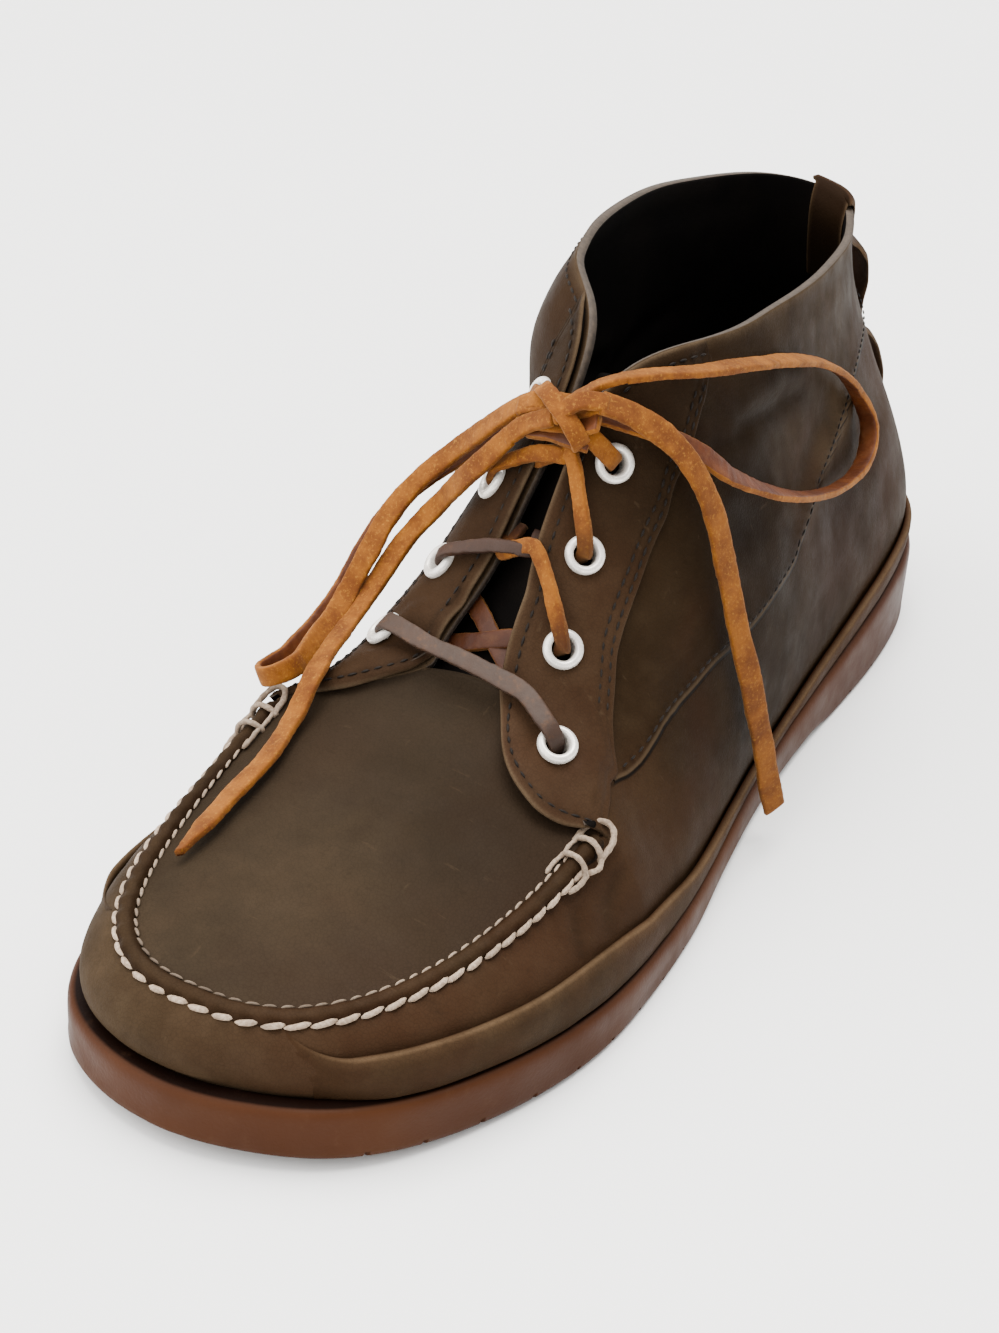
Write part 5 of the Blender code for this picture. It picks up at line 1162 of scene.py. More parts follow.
def cord_tube(points, radius, sides=8, step=0.7):
    """A round thread through points, closed at both ends."""
    p = through(points, step=step)
    d = np.gradient(p, axis=0)
    d = unit(d)
    up = unit(np.cross(d[0], [0.3, 0.2, 1.0]))
    rings = []
    ang = np.linspace(0, 2 * np.pi, sides, endpoint=False)
    for k in range(len(p)):
        up = unit(up - d[k] * (up @ d[k]))
        w = np.cross(d[k], up)
        r = radius * (1 + 0.10 * math.sin(k * 1.9)) * (0.6 if k in (0, len(p) - 1) else 1)
        rings.append(p[k] + up * (np.cos(ang) * r)[:, None] + w * (np.sin(ang) * r)[:, None])
    return np.vstack(rings), tube_faces(len(p), sides)


def row_of(points, normals, pitch, length, radius, slant=0.0, start=0.0, seed=0, **more):
    """Stitches along a line of points with its normals."""
    arc = np.r_[0, np.cumsum(np.linalg.norm(np.diff(points, axis=0), axis=1))]
    rng = np.random.RandomState(seed)
    out = []
    t = start + pitch * 0.5
    while t + length / 2 < arc[-1]:
        j = rng.uniform(-0.08, 0.08, 3) * pitch
        at = np.array([t - length / 2 + j[0], t + length / 2 + j[1]])
        q = np.stack([np.interp(at, arc, points[:, c]) for c in range(3)], 1)
        n = unit(np.array([np.interp(t, arc, normals[:, c]) for c in range(3)]))
        side = unit(np.cross(q[1] - q[0], n))
        q[0] -= side * slant
        q[1] += side * slant
        out.append(capsule(q[0], q[1], n, radius * (1 + j[2] * 0.3 / pitch), **more))
        t += pitch
    return out


# ================================================================ raised seam round the toe
def seam_frame(s):
    """Point, tangent, outward and up directions of the raised seam."""
    s = np.asarray(s, float)
    p = seam(s)
    e = 1e-3
    a, b = seam(np.clip(s - e, -1, 1)), seam(np.clip(s + e, -1, 1))
    t = unit(b - a)
    u = u_of_s(s)
    side = skin_normal(u, np.full(s.shape, 0.97))
    plug = np.array([0.0, 0.35, 0.94])
    up = unit(unit(side * 0.75 + plug))
    up = unit(up - t * (up * t).sum(-1, keepdims=True))
    out = unit(np.cross(t, up))
    flip = ((p - np.array([-3.0, 238.0, 0.0])) * out)[..., :2].sum(-1) < 0
    out[flip] *= -1
    return p, t, out, up


RIDGE_HALF = [(2.35, -1.3), (2.25, -0.3), (1.95, 0.65), (1.40, 1.35), (0.70, 1.68), (0.0, 1.75), (-0.70, 1.60), (-1.30, 1.20), (-1.70, 0.55), (-1.85, -0.2), (-1.80, -1.2)]


def build_ridge():
    """The puckered roll of leather where the wrap is gathered to the plug."""
    n = 460
    s = np.linspace(0.995, -0.995, n)
    p, t, out, up = seam_frame(s)
    arc = np.r_[0, np.cumsum(np.linalg.norm(np.diff(p, axis=0), axis=1))]
    half = np.array(RIDGE_HALF)
    m = len(half)
    rings = []
    total = arc[-1]
    for k in range(n):
        near = min(arc[k], total - arc[k])
        size = math.sqrt(max(0.03, 1 - (1 - min(near / 3.2, 1.0))**2))
        # gathered between the stitches
        wave = math.cos(2 * math.pi * arc[k] / 4.9)
        q = half.copy()
        q[:, 1] = np.where(q[:, 1] > 0, q[:, 1] * (1 + 0.10 * wave), q[:, 1])
        q[:4, 0] += 0.22 * wave
        q = q * np.array([0.55 + 0.45 * size, 1.0])
        q[:, 1] = np.where(q[:, 1] > 0, q[:, 1] * size, q[:, 1])
        rings.append(p[k] + out[k] * q[:, :1] + up[k] * q[:, 1:])
    verts = np.vstack(rings)
    faces = tube_faces(n, m)
    q = verts + 0
    verts = verts + np.stack([noise(q, 3.0, 31), noise(q, 3.0, 33), noise(q, 3.0, 35)], 1) * 0.10
    top = np.tile(half[:, 1], n)
    # paler along the top of the roll; painted shade on its underside
    pale_mask = 0.16 * smooth(top, 1.2, 1.8)
    shade = 0.25 + 0.60 * smooth(-top, -0.9, 0.5)
    return make("toe_seam_roll", verts, faces, UPPER, attrs={"wear_and_highlight": pale_mask, "shade": shade, "reddish": np.full(len(verts), 0.15), "seam_d": np.full(len(verts), -20.0)},
                sharp=60)


def build_seam_thread():
    parts = []
    s = np.linspace(0.955, -0.955, 900)
    p, t, out, up = seam_frame(s)
    # outer row: long slanted stitches of thick thread at the foot of the roll
    parts += row_of(p + out * 2.10 + up * 0.25, unit(out * 0.8 + up * 0.6), 4.9, 4.75, 0.68, slant=0.36, seed=1, bulge=0.5)
    # inner row: finer, along the plug's edge
    n_outer = len(parts)
    inner = row_of(p - out * 1.95 + up * 0.35, unit(up - out * 0.6), 3.3, 2.7, 0.36, slant=0.20, seed=2, bulge=0.45)
    parts += inner
    n_inner = len(parts)
    # whip stitches over the roll at both ends
    for end in (1, -1):
        at = np.linspace(0.999, 0.86, 200) * end
        q, tt, oo, uu = seam_frame(at)
        arc = np.r_[0, np.cumsum(np.linalg.norm(np.diff(q, axis=0), axis=1))]
        for d, lean in ((5.2, 0.6), (10.8, 1.0)):
            k = int(np.searchsorted(arc, d))
            c, o, w = q[k], oo[k], uu[k]
            f = (q[k + 1] - q[k]) / np.linalg.norm(q[k + 1] - q[k])
            parts.append(cord_tube([c + o * 3.5 - w * 0.6 + f * lean, c + o * 3.2 + w * 0.9 + f * lean * 0.6, c + o * 1.9 + w * 2.3, c + w * 2.75 - f * 0.3,
                                    c - o * 1.8 + w * 2.1 - f * lean * 0.4, c - o * 2.9 + w * 0.8 - f * lean * 0.5, c - o * 3.1 - w * 0.6 - f * lean * 0.5], 0.62))
        # loop round the very end
        k = int(np.searchsorted(arc, 1.6))
        j = int(np.searchsorted(arc, 6.0))
        f = unit(q[k] - q[j])
        a, b = q[j], q[k]
        o, w = oo[k], uu[k]
        parts.append(cord_tube([a + o * 3.5 + w * 0.2, a + o * 3.6 + w * 0.8 + f * 2.2, b + o * 3.3 + w * 1.2 + f * 0.6, b + o * 1.9 + w * 1.7 + f * 3.0,
                                b + w * 1.8 + f * 3.7, b - o * 1.9 + w * 1.6 + f * 2.8, b - o * 3.0 + w * 1.1 + f * 0.4, a - o * 3.1 + w * 0.9 + f * 1.6, a - o * 3.1 + w * 0.3], 0.68))
        # doubled thread on the outer side
        k1, k2, k3 = (int(np.searchsorted(arc, d)) for d in (5.0, 10.5, 17.0))
        for a, b, off in ((k1, k2, 0.5), (k2, k3, -0.2)):
            m = (a + b) // 2
            parts.append(cord_tube([q[a] + oo[a] * 3.4 + uu[a] * 0.5, q[m] + oo[m] * (3.9 + off) + uu[m] * 0.4, q[b] + oo[b] * 3.2 + uu[b] * 0.3], 0.60))
            parts.append(cord_tube([q[a] - oo[a] * 2.9 + uu[a] * 0.8, q[m] - oo[m] * 3.2 + uu[m] * 0.7, q[b] - oo[b] * 2.8 + uu[b] * 0.5], 0.50))
    v, f = joined(parts)
    dimmed = []
    for k, (q, _) in enumerate(parts):
        at = q.mean(0)
        if k < n_outer:
            d = 0.05
        elif k < n_inner:
            # the inner row is darker across the toe
            d = 0.80 - 0.45 * float(smooth(abs(at[0] + 2), 16, 34))
        else:
            d = 0.46
        dimmed.append(np.full(len(q), d))
    dimmed = np.concatenate(dimmed)
    dimmed = np.clip(dimmed + 0.25 * noise(v, 9, 37) + 0.10 * noise(v, 2.5, 38), 0, 1)
    return make("toe_seam_thread", v, f, THREAD, attrs={"dimmed": dimmed})


# ================================================================ stitching on the stays, collar, quarter and strap
def stay_stitches():
    parts = []
    for side in (1, -1):
        g, nn = STAY_GRID[side]
        n, m, _ = g.shape
        arc = np.concatenate([np.zeros((n, 1)), np.cumsum(np.linalg.norm(np.diff(g, axis=1), axis=2), axis=1)], 1)
        for kind, inset, lo, hi in (("front", 3.0, 4, n - 3), ("rear", 1.9, 8, n - 8), ("rear", 4.3, 12, n - 10)):
            line, norm = [], []
            for i in range(lo, hi):
                total = arc[i, -1]
                at = total - inset if kind == "front" else inset
                if total < 9 and kind == "rear":
                    continue
                line.append([np.interp(at, arc[i], g[i, :, c]) for c in range(3)])
                norm.append([np.interp(at, arc[i], nn[i, :, c]) for c in range(3)])
            line, norm = np.array(line), unit(np.array(norm))
            if kind == "rear" and side > 0:
                # below this the outer stay and the wrap are one smooth surface
                line, norm = line[line[:, 2] > 51], norm[line[:, 2] > 51]
            parts += row_of(line - norm * 0.12, norm, 2.9, 1.9, 0.30, seed=5 + side, bulge=0.2, sides=6, rings=4)
    return parts


def quarter_stitches():
    parts = []
    for side in (1, -1):
        us, vs = SEAM_UV[side]
        uu = np.linspace(us[0], us[-1], 500)
        vv = np.interp(uu, us, vs)
        p = wrap(uu, np.clip(vv, 0, 0.99))
        n = skin_normal(uu, np.clip(vv, 0.01, 0.98))
        tang = unit(np.gradient(p, axis=0))
        up = unit(np.cross(n, tang))
        if (up[:, 2]).mean() < 0:
            up = -up
        keep = (uu < 0.300) if side > 0 else (uu > 0.712)
        for off in (2.2,):
            q = p + up * off
            q = q + n * (relief(q) + 0.5)[:, None] * 0 + n * (relief(q) + 0.55)[:, None]
            parts += row_of(q[keep], n[keep], 2.9, 1.9, 0.28, seed=11 + side, bulge=0.2, sides=6, rings=4)
    return parts


def collar_stitches():
    parts = []
    names = [("corner_out", 0.0), ("collar_turn_in", 1.0)]
    u_a, u_b = float(_us[NAMES.index("corner_out")]), float(_us[NAMES.index("corner_in")])
    for lo, hi in ((u_b + 0.004, 0.994),):
        uu = np.linspace(lo, hi, 700)
        rows = []
        for u in uu:
            v = np.linspace(0.90, 1.0, 12)
            w = wrap(np.full(12, u), v)
            arc = np.r_[0, np.cumsum(np.linalg.norm(np.diff(w, axis=0), axis=1))]
            rows.append(float(np.interp(arc[-1] - 3.2, arc, v)))
        vv = np.array(rows)
        p = wrap(uu, vv)
        n = skin_normal(uu, vv)
        q = p + n * (relief(p) * (0.35 + 0.65 * smooth(1 - vv, 0, 0.06)) + 0.02)[:, None]
        parts += row_of(q, n, 2.9, 1.9, 0.28, seed=17, bulge=0.2, sides=6, rings=4)
    return parts


# ================================================================ eyelets
def build_eyelets():
    prof = [(2.45, -3.9), (2.45, -0.2), (2.48, 0.55), (2.62, 1.02), (2.92, 1.36), (3.32, 1.48), (3.75, 1.36), (4.10, 1.02), (4.30, 0.58),
            (4.33, 0.15), (4.18, -0.25), (3.70, -0.35), (2.95, -0.40), (2.90, -3.9)]
    sides, m = 48, len(prof)
    for name, (c, n) in EYELET_AT.items():
        x = unit(np.cross(n, [0.0, 1.0, 0.0]))
        y = np.cross(n, x)
        verts = []
        for k in range(sides):
            a = 2 * math.pi * k / sides
            d = x * math.cos(a) + y * math.sin(a)
            verts += [c + d * r + n * h for r, h in prof]
        faces = []
        for k in range(sides):
            a, b = k * m, ((k + 1) % sides) * m
            faces += [(a + i, a + (i + 1) % m, b + (i + 1) % m, b + i) for i in range(m)]
        make(name + "_ring", np.array(verts), faces, METAL, node=name, sharp=50)


# ================================================================ rand
def build_rand():
    u0, u1 = u_of(1, 295.6), u_of(-1, 276.0)
    TALLER = np.array([(0, 0.0), (185, 0.0), (214, 0.9), (239, 1.7), (264, 3.0), (280, 2.4), (290, 1.5), (305, 1.5)], float)
    us = np.r_[np.linspace(u1, u1 + 0.02, 26)[:-1], np.linspace(u1 + 0.02, 1.0, 190)[:-1], np.linspace(0.0, u0 - 0.02, 240)[:-1], np.linspace(u0 - 0.02, u0, 26)]
    length = 2.0 * (L + 90)
    prof = [(0, 0.6), (0.35, 0.63), (0.70, 0.62), (0.95, 0.60), (1.0, 0.95), (1.0, 1.6), (0.965, 2.1), (0.90, 2.4), (0.70, 2.55), (0.35, 2.62), (0.06, 2.6), (0.0, 2.35)]
    rings = []
    vv = np.linspace(0, 1, 240)
    for u in us:
        g = wrap(np.full(240, u), vv)
        arc = np.r_[0, np.cumsum(np.linalg.norm(np.diff(g, axis=0), axis=1))]
        near = min(abs(u - u0), abs(u - u1)) * length
        full = float(rand_height(g[0, 1])) + float(pchip(TALLER[:, 0], TALLER[:, 1], g[0, 1]))
        t = min(near / 20.0, 1.0)
        h = full * (1.0 + 0.55 * (1 - min(near / 14.0, 1.0))**2)
        thin = 0.02 + 0.98 * float(smooth(t, 0.0, 1.0))
        lift = 0.0
        _, flat = outline(np.array([u]))
        flat = np.array([flat[0, 0], flat[0, 1], 0.0])
        ring = []
        for share, off in prof:
            a = share * h + (lift if share > 0 else 0)
            p = np.array([np.interp(a, arc, g[:, c]) for c in range(3)])
            k = int(np.clip(np.searchsorted(arc, a), 1, 238))
            across = np.asarray(wrap(u + 1e-3, vv[k]) - wrap(u - 1e-3, vv[k]), float).reshape(3)
            n = unit(np.cross(across, g[k + 1] - g[k - 1]))
            w = min(share / 0.3, 1.0)
            n = unit(flat * (1 - w) + n * w)
            q = p + n * (0.10 + (off - 0.10) * thin if thin < 0.999 else off)
            if share == 0:
                q[2] = sole_top(q[1]) + 0.35
            ring.append(q)
        rings.append(ring)
    rings = np.array(rings)
    m = len(prof)
    v = rings.reshape(-1, 3)
    cen = rings.mean(1, keepdims=True)
    wob = noise(v, 14, 41) * 0.22 + noise(v, 5, 43) * 0.08
    outw = unit(rings - cen).reshape(-1, 3)
    share = np.tile([p[0] for p in prof], len(us))
    off = np.tile([p[1] for p in prof], len(us))
    v = v + outw * (wob * smooth(off, 1.0, 2.2))[:, None]
    close = np.repeat([min(min(abs(u - u0), abs(u - u1)) * length / 16.0, 1.0) for u in us], m)
    # painted highlight along the rand's top edge, where light catches it, and painted shade at its foot
    pale_mask = (0.85 * np.exp(-((share - 0.965) / 0.06)**2) * smooth(off, 1.0, 1.9) + 0.10 * smooth(off, 2.0, 2.5)) * close
    behind = smooth(250 - v[:, 1], 0, 140)
    return make("rand_strip", v, tube_faces(len(us), m), STRIP, attrs={"wear_and_highlight": pale_mask, "shade": 0.5 * smooth(0.10 - share, -0.1, 0.1), "reddish": 0.65 * behind},
                node="rand", sharp=60)


# ================================================================ sole and insole
ARCH_ROWS = [(0, 0.0), (84, 0.0), (98, ARCH_RISE), (165, ARCH_RISE), (186, 0.0), (305, 0.0)]
_ar = np.array(ARCH_ROWS, float)
GROOVES = [12, 27, 42, 57, 72, 194, 206, 218, 230, 242, 254, 266, 278, 289]


def sole_low(f):
    return spring(f) + pchip(_ar[:, 0], _ar[:, 1], f)


def outline_rows(f_rows):
    lat = [u_of(1, f) for f in f_rows]
    med = [u_of(-1, f) for f in f_rows[::-1]]
    return np.r_[0.0, lat, U_TOE, med]


def capped(rings, half):
    """Closed shell of level rings whose points pair across; half is the count of points on a side."""
    n = len(rings[0])
    verts = np.vstack(rings)
    faces = tube_faces(len(rings), n, caps=False)
    for base, flip in ((0, True), ((len(rings) - 1) * n, False)):
        for k in range(half + 1):
            g = []
            for x in (base + k, base + k + 1, base + (n - k - 1) % n, base + (n - k) % n):
                if x not in g:
                    g.append(x)
            if len(g) > 2:
                faces.append(tuple(g[::-1] if flip else g))
    return verts, faces


def build_sole():
    t = np.linspace(0, np.pi, 150)[1:-1]
    fs = L * (0.5 - 0.5 * np.cos(t))
    fs = 0.75 * fs + 0.25 * np.linspace(fs[0], fs[-1], len(fs))
    us = outline_rows(fs)
    base, _ = outline(us, 0.0)
    f0 = base[:, 1]
    levels = [  # inset, above the bottom, below the top
        (1.6, 0.0, None), (0.85, 0.12, None), (0.35, 0.5, None), (0.08, 1.0, None), (0.0, 1.8, None), (0.10, 3.2, None), (0.0, None, 4.4), (0.0, None, 3.0),
        (0.05, None, 2.0), (0.22, None, 1.2), (0.55, None, 0.55), (1.1, None, 0.12), (1.8, None, 0.0), (5.5, None, 0.1),
    ]
    rings = []
    for inset, up, down in levels:
        p, _ = outline(us, inset)
        z = sole_low(f0) + up if up is not None else sole_top(p[:, 1]) - down
        rings.append(np.concatenate([p, z[:, None]], 1))
    v, f = capped(rings, len(fs))
    n = len(us)
    z = v[:, 2]
    high = np.tile(np.arange(len(levels)), (n, 1)).T.ravel()
    v[:, :2] += (unit(np.c_[v[:, 0], (v[:, 1] - 150) * 0.4])) * (0.10 * noise(v, 22, 51))[:, None] * (high > 2)[:, None]
    heel = smooth(140 - v[:, 1], 0, 110)
    shade = 0.95 * (high >= 12) + 0.15 * (high == 11) + 0.25 * (high <= 2)
    ob = make("sole_rubber", v, f, RUBBER, attrs={"reddish": 0.8 * heel, "shade": shade}, node="outsole", sharp=50)
    # tread: cross grooves, cut by closed wavy bars
    parts = []
    for k, g in enumerate(GROOVES):
        top = 1.7 + float(spring(g))
        xs = np.linspace(-66, 66, 45)
        wave = 1.1 * np.sin(xs / 66 * np.pi * 4)
        lo, hi = [], []
        ring = []
        for x, w in zip(xs, wave):
            ring.append([(x, g - 0.9 + w, -4.0), (x, g + 0.9 + w, -4.0), (x, g + 0.55 + w, top), (x, g - 0.55 + w, top)])
        parts.append((np.vstack(ring), tube_faces(len(xs), 4)))
    cv, cf = joined(parts)
    me = bpy.data.meshes.new("tread_bars")
    me.from_pydata([tuple(q) for q in world(cv)], [], cf)
    bm = bmesh.new()
    bm.from_mesh(me)
    bmesh.ops.recalc_face_normals(bm, faces=bm.faces)
    bm.to_mesh(me)
    bm.free()
    cutter = bpy.data.objects.new("tread_bars", me)
    bpy.context.scene.collection.objects.link(cutter)
    mod = ob.modifiers.new("tread", "BOOLEAN")
    mod.operation, mod.solver, mod.object = "DIFFERENCE", "EXACT", cutter
    graph = bpy.context.evaluated_depsgraph_get()
    done = bpy.data.meshes.new_from_object(ob.evaluated_get(graph))
    ob.modifiers.clear()
    ob.data = done
    bpy.data.objects.remove(cutter)
    return ob


def build_insole():
    fs = np.linspace(10, 292, 110)
    us = outline_rows(fs)
    rings = []
    for extra, z in ((1.2, 0.0), (0.6, 0.4), (0.5, 1.0), (0.5, 2.0), (0.7, 2.6), (1.2, 2.95), (2.2, 3.05), (7.0, 2.9)):
        p, _ = outline(us, seat(outline(us)[0][:, 1]) + 2.0 + extra)
        rings.append(np.concatenate([p, (sole_top(p[:, 1]) + 0.4 + z)[:, None]], 1))
    v, f = capped(rings, len(fs))
    return make("insole_sheet", v, f, INSOLE, attrs={}, node="insole", sharp=50)


# ================================================================ tongue: the dark inner sheet under the lace
TONGUE = [
    # f,   below the wall's outer face, extra in the middle, start on the wall, end on the wall
    (210.0, 6.4, -0.6, 0.84, 0.985),
    (201.0, 6.4, 0.2, 0.78, 0.985),
    (193.0, 6.4, 0.6, 0.74, 0.97),
    (185.0, 6.4, 0.8, 0.74, 0.95),
    (177.0, 6.4, 0.8, 0.75, 0.94),
    (169.0, 6.4, 0.6, 0.78, 0.94),
    (161.0, 6.4, 0.4, 0.81, 0.94),
    (154.5, 6.4, 0.2, 0.85, 0.95),
]


def edge_u(side, f):
    names = [n for n in NAMES if n.endswith("_out" if side > 0 else "_in") and n.startswith(("corner", "facing", "throat"))]
    rows = sorted((SECTIONS[NAMES.index(n)][4], float(_us[NAMES.index(n)])) for n in names)
    return float(np.interp(f, [r[0] for r in rows], [r[1] for r in rows]))


def build_tongue():
    control = []
    for f, drop, mid_drop, v0, v1 in TONGUE:
        row = []
        for side in (1, -1):
            u = edge_u(side, min(f, 201.4))
            v = np.linspace(v0, v1, 3)
            p = wrap(np.full(3, u), v) - skin_normal(np.full(3, u), v) * drop
            p[:, 1] += max(0.0, f - 201.4)
            p[:, 2] -= 0.55 * max(0.0, f - 201.4)
            row += list(p if side > 0 else p[::-1])
        mid = (row[2] + row[3]) / 2 + np.array([0, 0.6, 0.8]) * (0.06 * np.linalg.norm(row[2] - row[3]) - mid_drop)
        control.append(through(np.array(row[:3] + [mid] + row[3:]), count=33))
    control = np.array(control)
    g = np.array([through(control[:, j], count=60) for j in range(33)]).transpose(1, 0, 2)
    v = g.reshape(-1, 3)
    nn = grid_normals(g).reshape(-1, 3)
    v = v + nn * (0.25 * noise(v, 8, 61))[:, None]
    ob = make("tongue_sheet", v, grid_faces(60, 33), [LINING], node="tongue", outward=((0, 182, 67), (0, 0.6, 0.8)))
    thicken(ob, 2.4, -1.0)
    return ob


# ================================================================ heel strap
PULL = [
    # z,     behind the heel's outer face
    (84.0,  -5.0), (94.0,  -4.8), (101.5, -4.5), (105.6, -3.2), (106.9, -1.2), (105.6, 0.9), (101.0, 1.6), (96.5, 1.8), (93.0, 6.2), (88.5, 9.8),
    (83.5, 8.6), (79.0, 4.0), (75.0, 1.6), (70.5, 1.7), (67.5, 5.0), (61.5, 8.4), (54.5, 9.2), (48.5, 7.4), (43.0, 2.6), (36.0, 1.6), (30.6, 1.6),
]
PULL_HALF, PULL_THICK, LEAN = 9.0, 1.8, -0.075
BACK = np.array([wrap(np.full(120, u), np.linspace(0, 1, 120)) for u in np.linspace(-0.06, 0.06, 61) % 1.0])


def back_at(x, z):
    xs, fs = [], []
    for row in BACK:
        zz = min(z, row[-1, 2] - 0.5)
        xs.append(np.interp(zz, row[:, 2], row[:, 0]))
        fs.append(np.interp(zz, row[:, 2], row[:, 1]))
    o = np.argsort(xs)
    return float(np.interp(x, np.array(xs)[o], np.array(fs)[o]))


def rim_at(x):
    o = np.argsort(BACK[:, -1, 0])
    return float(np.interp(x, BACK[o, -1, 0], BACK[o, -1, 2]))


def build_pull():
    t = np.array(PULL)
    k = np.linspace(0, 1, len(t))
    kk = np.linspace(0, 1, 170)
    zs, behind = pchip(k, t[:, 0], kk), pchip(k, t[:, 1], kk)
    narrow = smooth(zs, 91, 94) * 1.0
    narrow = np.where(behind < 0, 1.0, narrow)
    wide = smooth(zs, 43, 49)
    across = np.linspace(-1, 1, 17)
    grid = []
    for i in range(len(kk)):
        w = 6.0 + 3.0 * wide[i]
        xc = LEAN * (zs[i] - 20)
        w, xc = w - (3.0 if behind[i] < -2 else 1.8) * narrow[i], xc + 2.3 * narrow[i] + 2.2 * (1 - narrow[i]) * wide[i]
        row = []
        for a in across:
            x = xc + a * w
            lift = (rim_at(x) - 105.0) * min(1.0, max(0.0, (zs[i] - 92.0) / 10.0))
            row.append((x, back_at(x, zs[i]) - behind[i], zs[i] + lift))
        grid.append(row)
    g = np.array(grid)
    for _ in range(2):
        g[1:-1] = (g[:-2] + 2 * g[1:-1] + g[2:]) / 4
    d = unit(np.gradient(g, axis=0))
    n = unit(np.cross(d, np.array([1.0, 0, 0])))
    edge = 1 - np.abs(across)
    th = PULL_THICK / 2 * np.sqrt(np.clip(1 - (1 - np.clip(edge / 0.10, 0, 1))**2, 0.12, 1))
    hi = g + n * th[None, :, None]
    lo = g - n * th[None, :, None]
    rings = [np.vstack([hi[i], lo[i][::-1]]) for i in range(len(g))]
    v = np.vstack(rings)
    pale_mask = np.tile(np.r_[np.exp(-(edge / 0.09)**2), np.exp(-(edge[::-1] / 0.09)**2)] * 0.6, len(g))
    v = v + np.stack([noise(v, 6, 71), noise(v, 6, 73), noise(v, 6, 75)], 1) * 0.08
    ob = make("heel_strap", v, tube_faces(len(g), 34), STRIP, attrs={"wear_and_highlight": pale_mask, "reddish": np.full(len(v), 0.5), "shade": np.repeat(np.where(behind < -1.5, 0.74 + 0.26 * smooth(-zs, -105, -96), 0.10), 34)},
              node="heel_pull", sharp=60)
    # stitched down between the loops
    parts = []
    for z_lo, z_hi in ((71, 80), (31.5, 43.0)):
        pick = [i for i in range(len(kk)) if z_lo < zs[i] < z_hi and behind[i] > 0]
        for j in (2, 14):
            line, norm = g[pick, j], n[pick, j]
            sign = 1 if norm[:, 1].mean() < 0 else -1
            parts += row_of(line + norm * sign * (PULL_THICK / 2 + 0.02), norm * sign, 2.9, 1.9, 0.28, seed=23, bulge=0.2, sides=6, rings=4)
    for z in (95.0, 81.0, 70.0, 46.5):
        i = int(np.argmin(np.abs(zs - z) + 100 * (behind < 0)))
        line, norm = g[i, 2:15], n[i, 2:15]
        sign = 1 if norm[:, 1].mean() < 0 else -1
        parts += row_of(line + norm * sign * (PULL_THICK / 2 + 0.02), norm * sign, 2.9, 1.9, 0.28, seed=29, bulge=0.2, sides=6, rings=4)
    return parts


# ================================================================ laces
LACE_WIDE, LACE_THICK, LACE_PASS = 4.2, 1.7, 0.5
ABOVE = dict(eyelet=0.65 + 0.85 + 0.45 + LACE_THICK / 2, edge=STAY_GAP + STAY_THICK + 1.1 + LACE_THICK / 2)
BELOW = dict(eyelet=STAY_GAP + STAY_THICK + WALL + 0.6 + LACE_THICK / 2, edge=WALL + 0.8 + LACE_THICK / 2)


def facing_edge(side, f):
    u = edge_u(side, f)
    p = np.asarray(wrap(u, 1.0), float).reshape(3)
    return p, np.asarray(skin_normal(np.array([u]), np.array([0.96])), float).reshape(3)


def edge_crossing(a, b, side):
    best = None
    for t in np.linspace(0.02, 0.98, 97):
        q = a * (1 - t) + b * t
        p, n = facing_edge(side, float(np.clip(q[1], 154, 201)))
        d = abs(q[0] - p[0])
        if best is None or d < best[0]:
            best = (d, p, n)
    return best[1], best[2]


def strip(points, normals, wide=LACE_WIDE, thick=LACE_THICK, step=0.55, seed=0, cut=0.0, taper=0.0, grey=0.0, shade=None):
    """A flat lace: rounded section, slightly uneven edges, grain on the side its normal points to."""
    points, normals = np.asarray(points, float), unit(np.asarray(normals, float))
    both = through(np.c_[points, normals], step=step)
    p, n = both[:, :3], unit(both[:, 3:6])
    d = unit(np.gradient(p, axis=0))
    n = unit(n - d * (n * d).sum(1, keepdims=True))
    w = np.cross(d, n)
    run = np.r_[0, np.cumsum(np.linalg.norm(np.diff(p, axis=0), axis=1))]
    m = 20
    ang = np.linspace(0, 2 * np.pi, m, endpoint=False) + np.pi / m
    ca, sa = np.cos(ang), np.sin(ang)
    cx = np.sign(ca) * np.abs(ca)**0.42
    cy = np.sign(sa) * np.abs(sa)**0.42
    rings, grain = [], []
    rng = np.random.RandomState(900 + seed)
    ph = rng.uniform(0, 6.28, 4)
    for k in range(len(p)):
        s = run[k]
        ww = wide / 2 * (1 + 0.045 * math.sin(s / 5.1 + ph[0]) + 0.03 * math.sin(s / 1.9 + ph[1]))
        tt = thick / 2 * (1 + 0.05 * math.sin(s / 4.3 + ph[2]))
        if taper:
            ww *= 0.30 + 0.70 * min(1.0, (run[-1] - s) / taper)
        off = 0.10 * math.sin(s / 3.1 + ph[3])
        ring = p[k] + w[k] * (cx * ww + off)[:, None] + n[k] * (cy * tt)[:, None]
        if cut and k == len(p) - 1:
            ring = ring + d[k] * (cx * cut)[:, None]
        rings.append(ring)
        grain.append(np.maximum(smooth(cy, 0.55, 0.98), 1.0 if grey > 0.5 else 0.0))
    v = np.vstack(rings)
    j = np.stack([noise(v, 1.1, 81 + seed), noise(v, 1.1, 83 + seed), noise(v, 1.1, 85 + seed)], 1)
    v = v + j * 0.09 + np.stack([noise(v, 0.6, 91), noise(v, 0.6, 93), noise(v, 0.6, 95)], 1) * 0.05
    g = np.concatenate(grain)
    sh = np.zeros(len(v)) if shade is None else np.repeat(np.interp(run / run[-1], [x[0] for x in shade], [x[1] for x in shade]), m)
    return v, tube_faces(len(p), m), dict(grain=g, grey=np.full(len(v), float(grey)), shade=sh), p


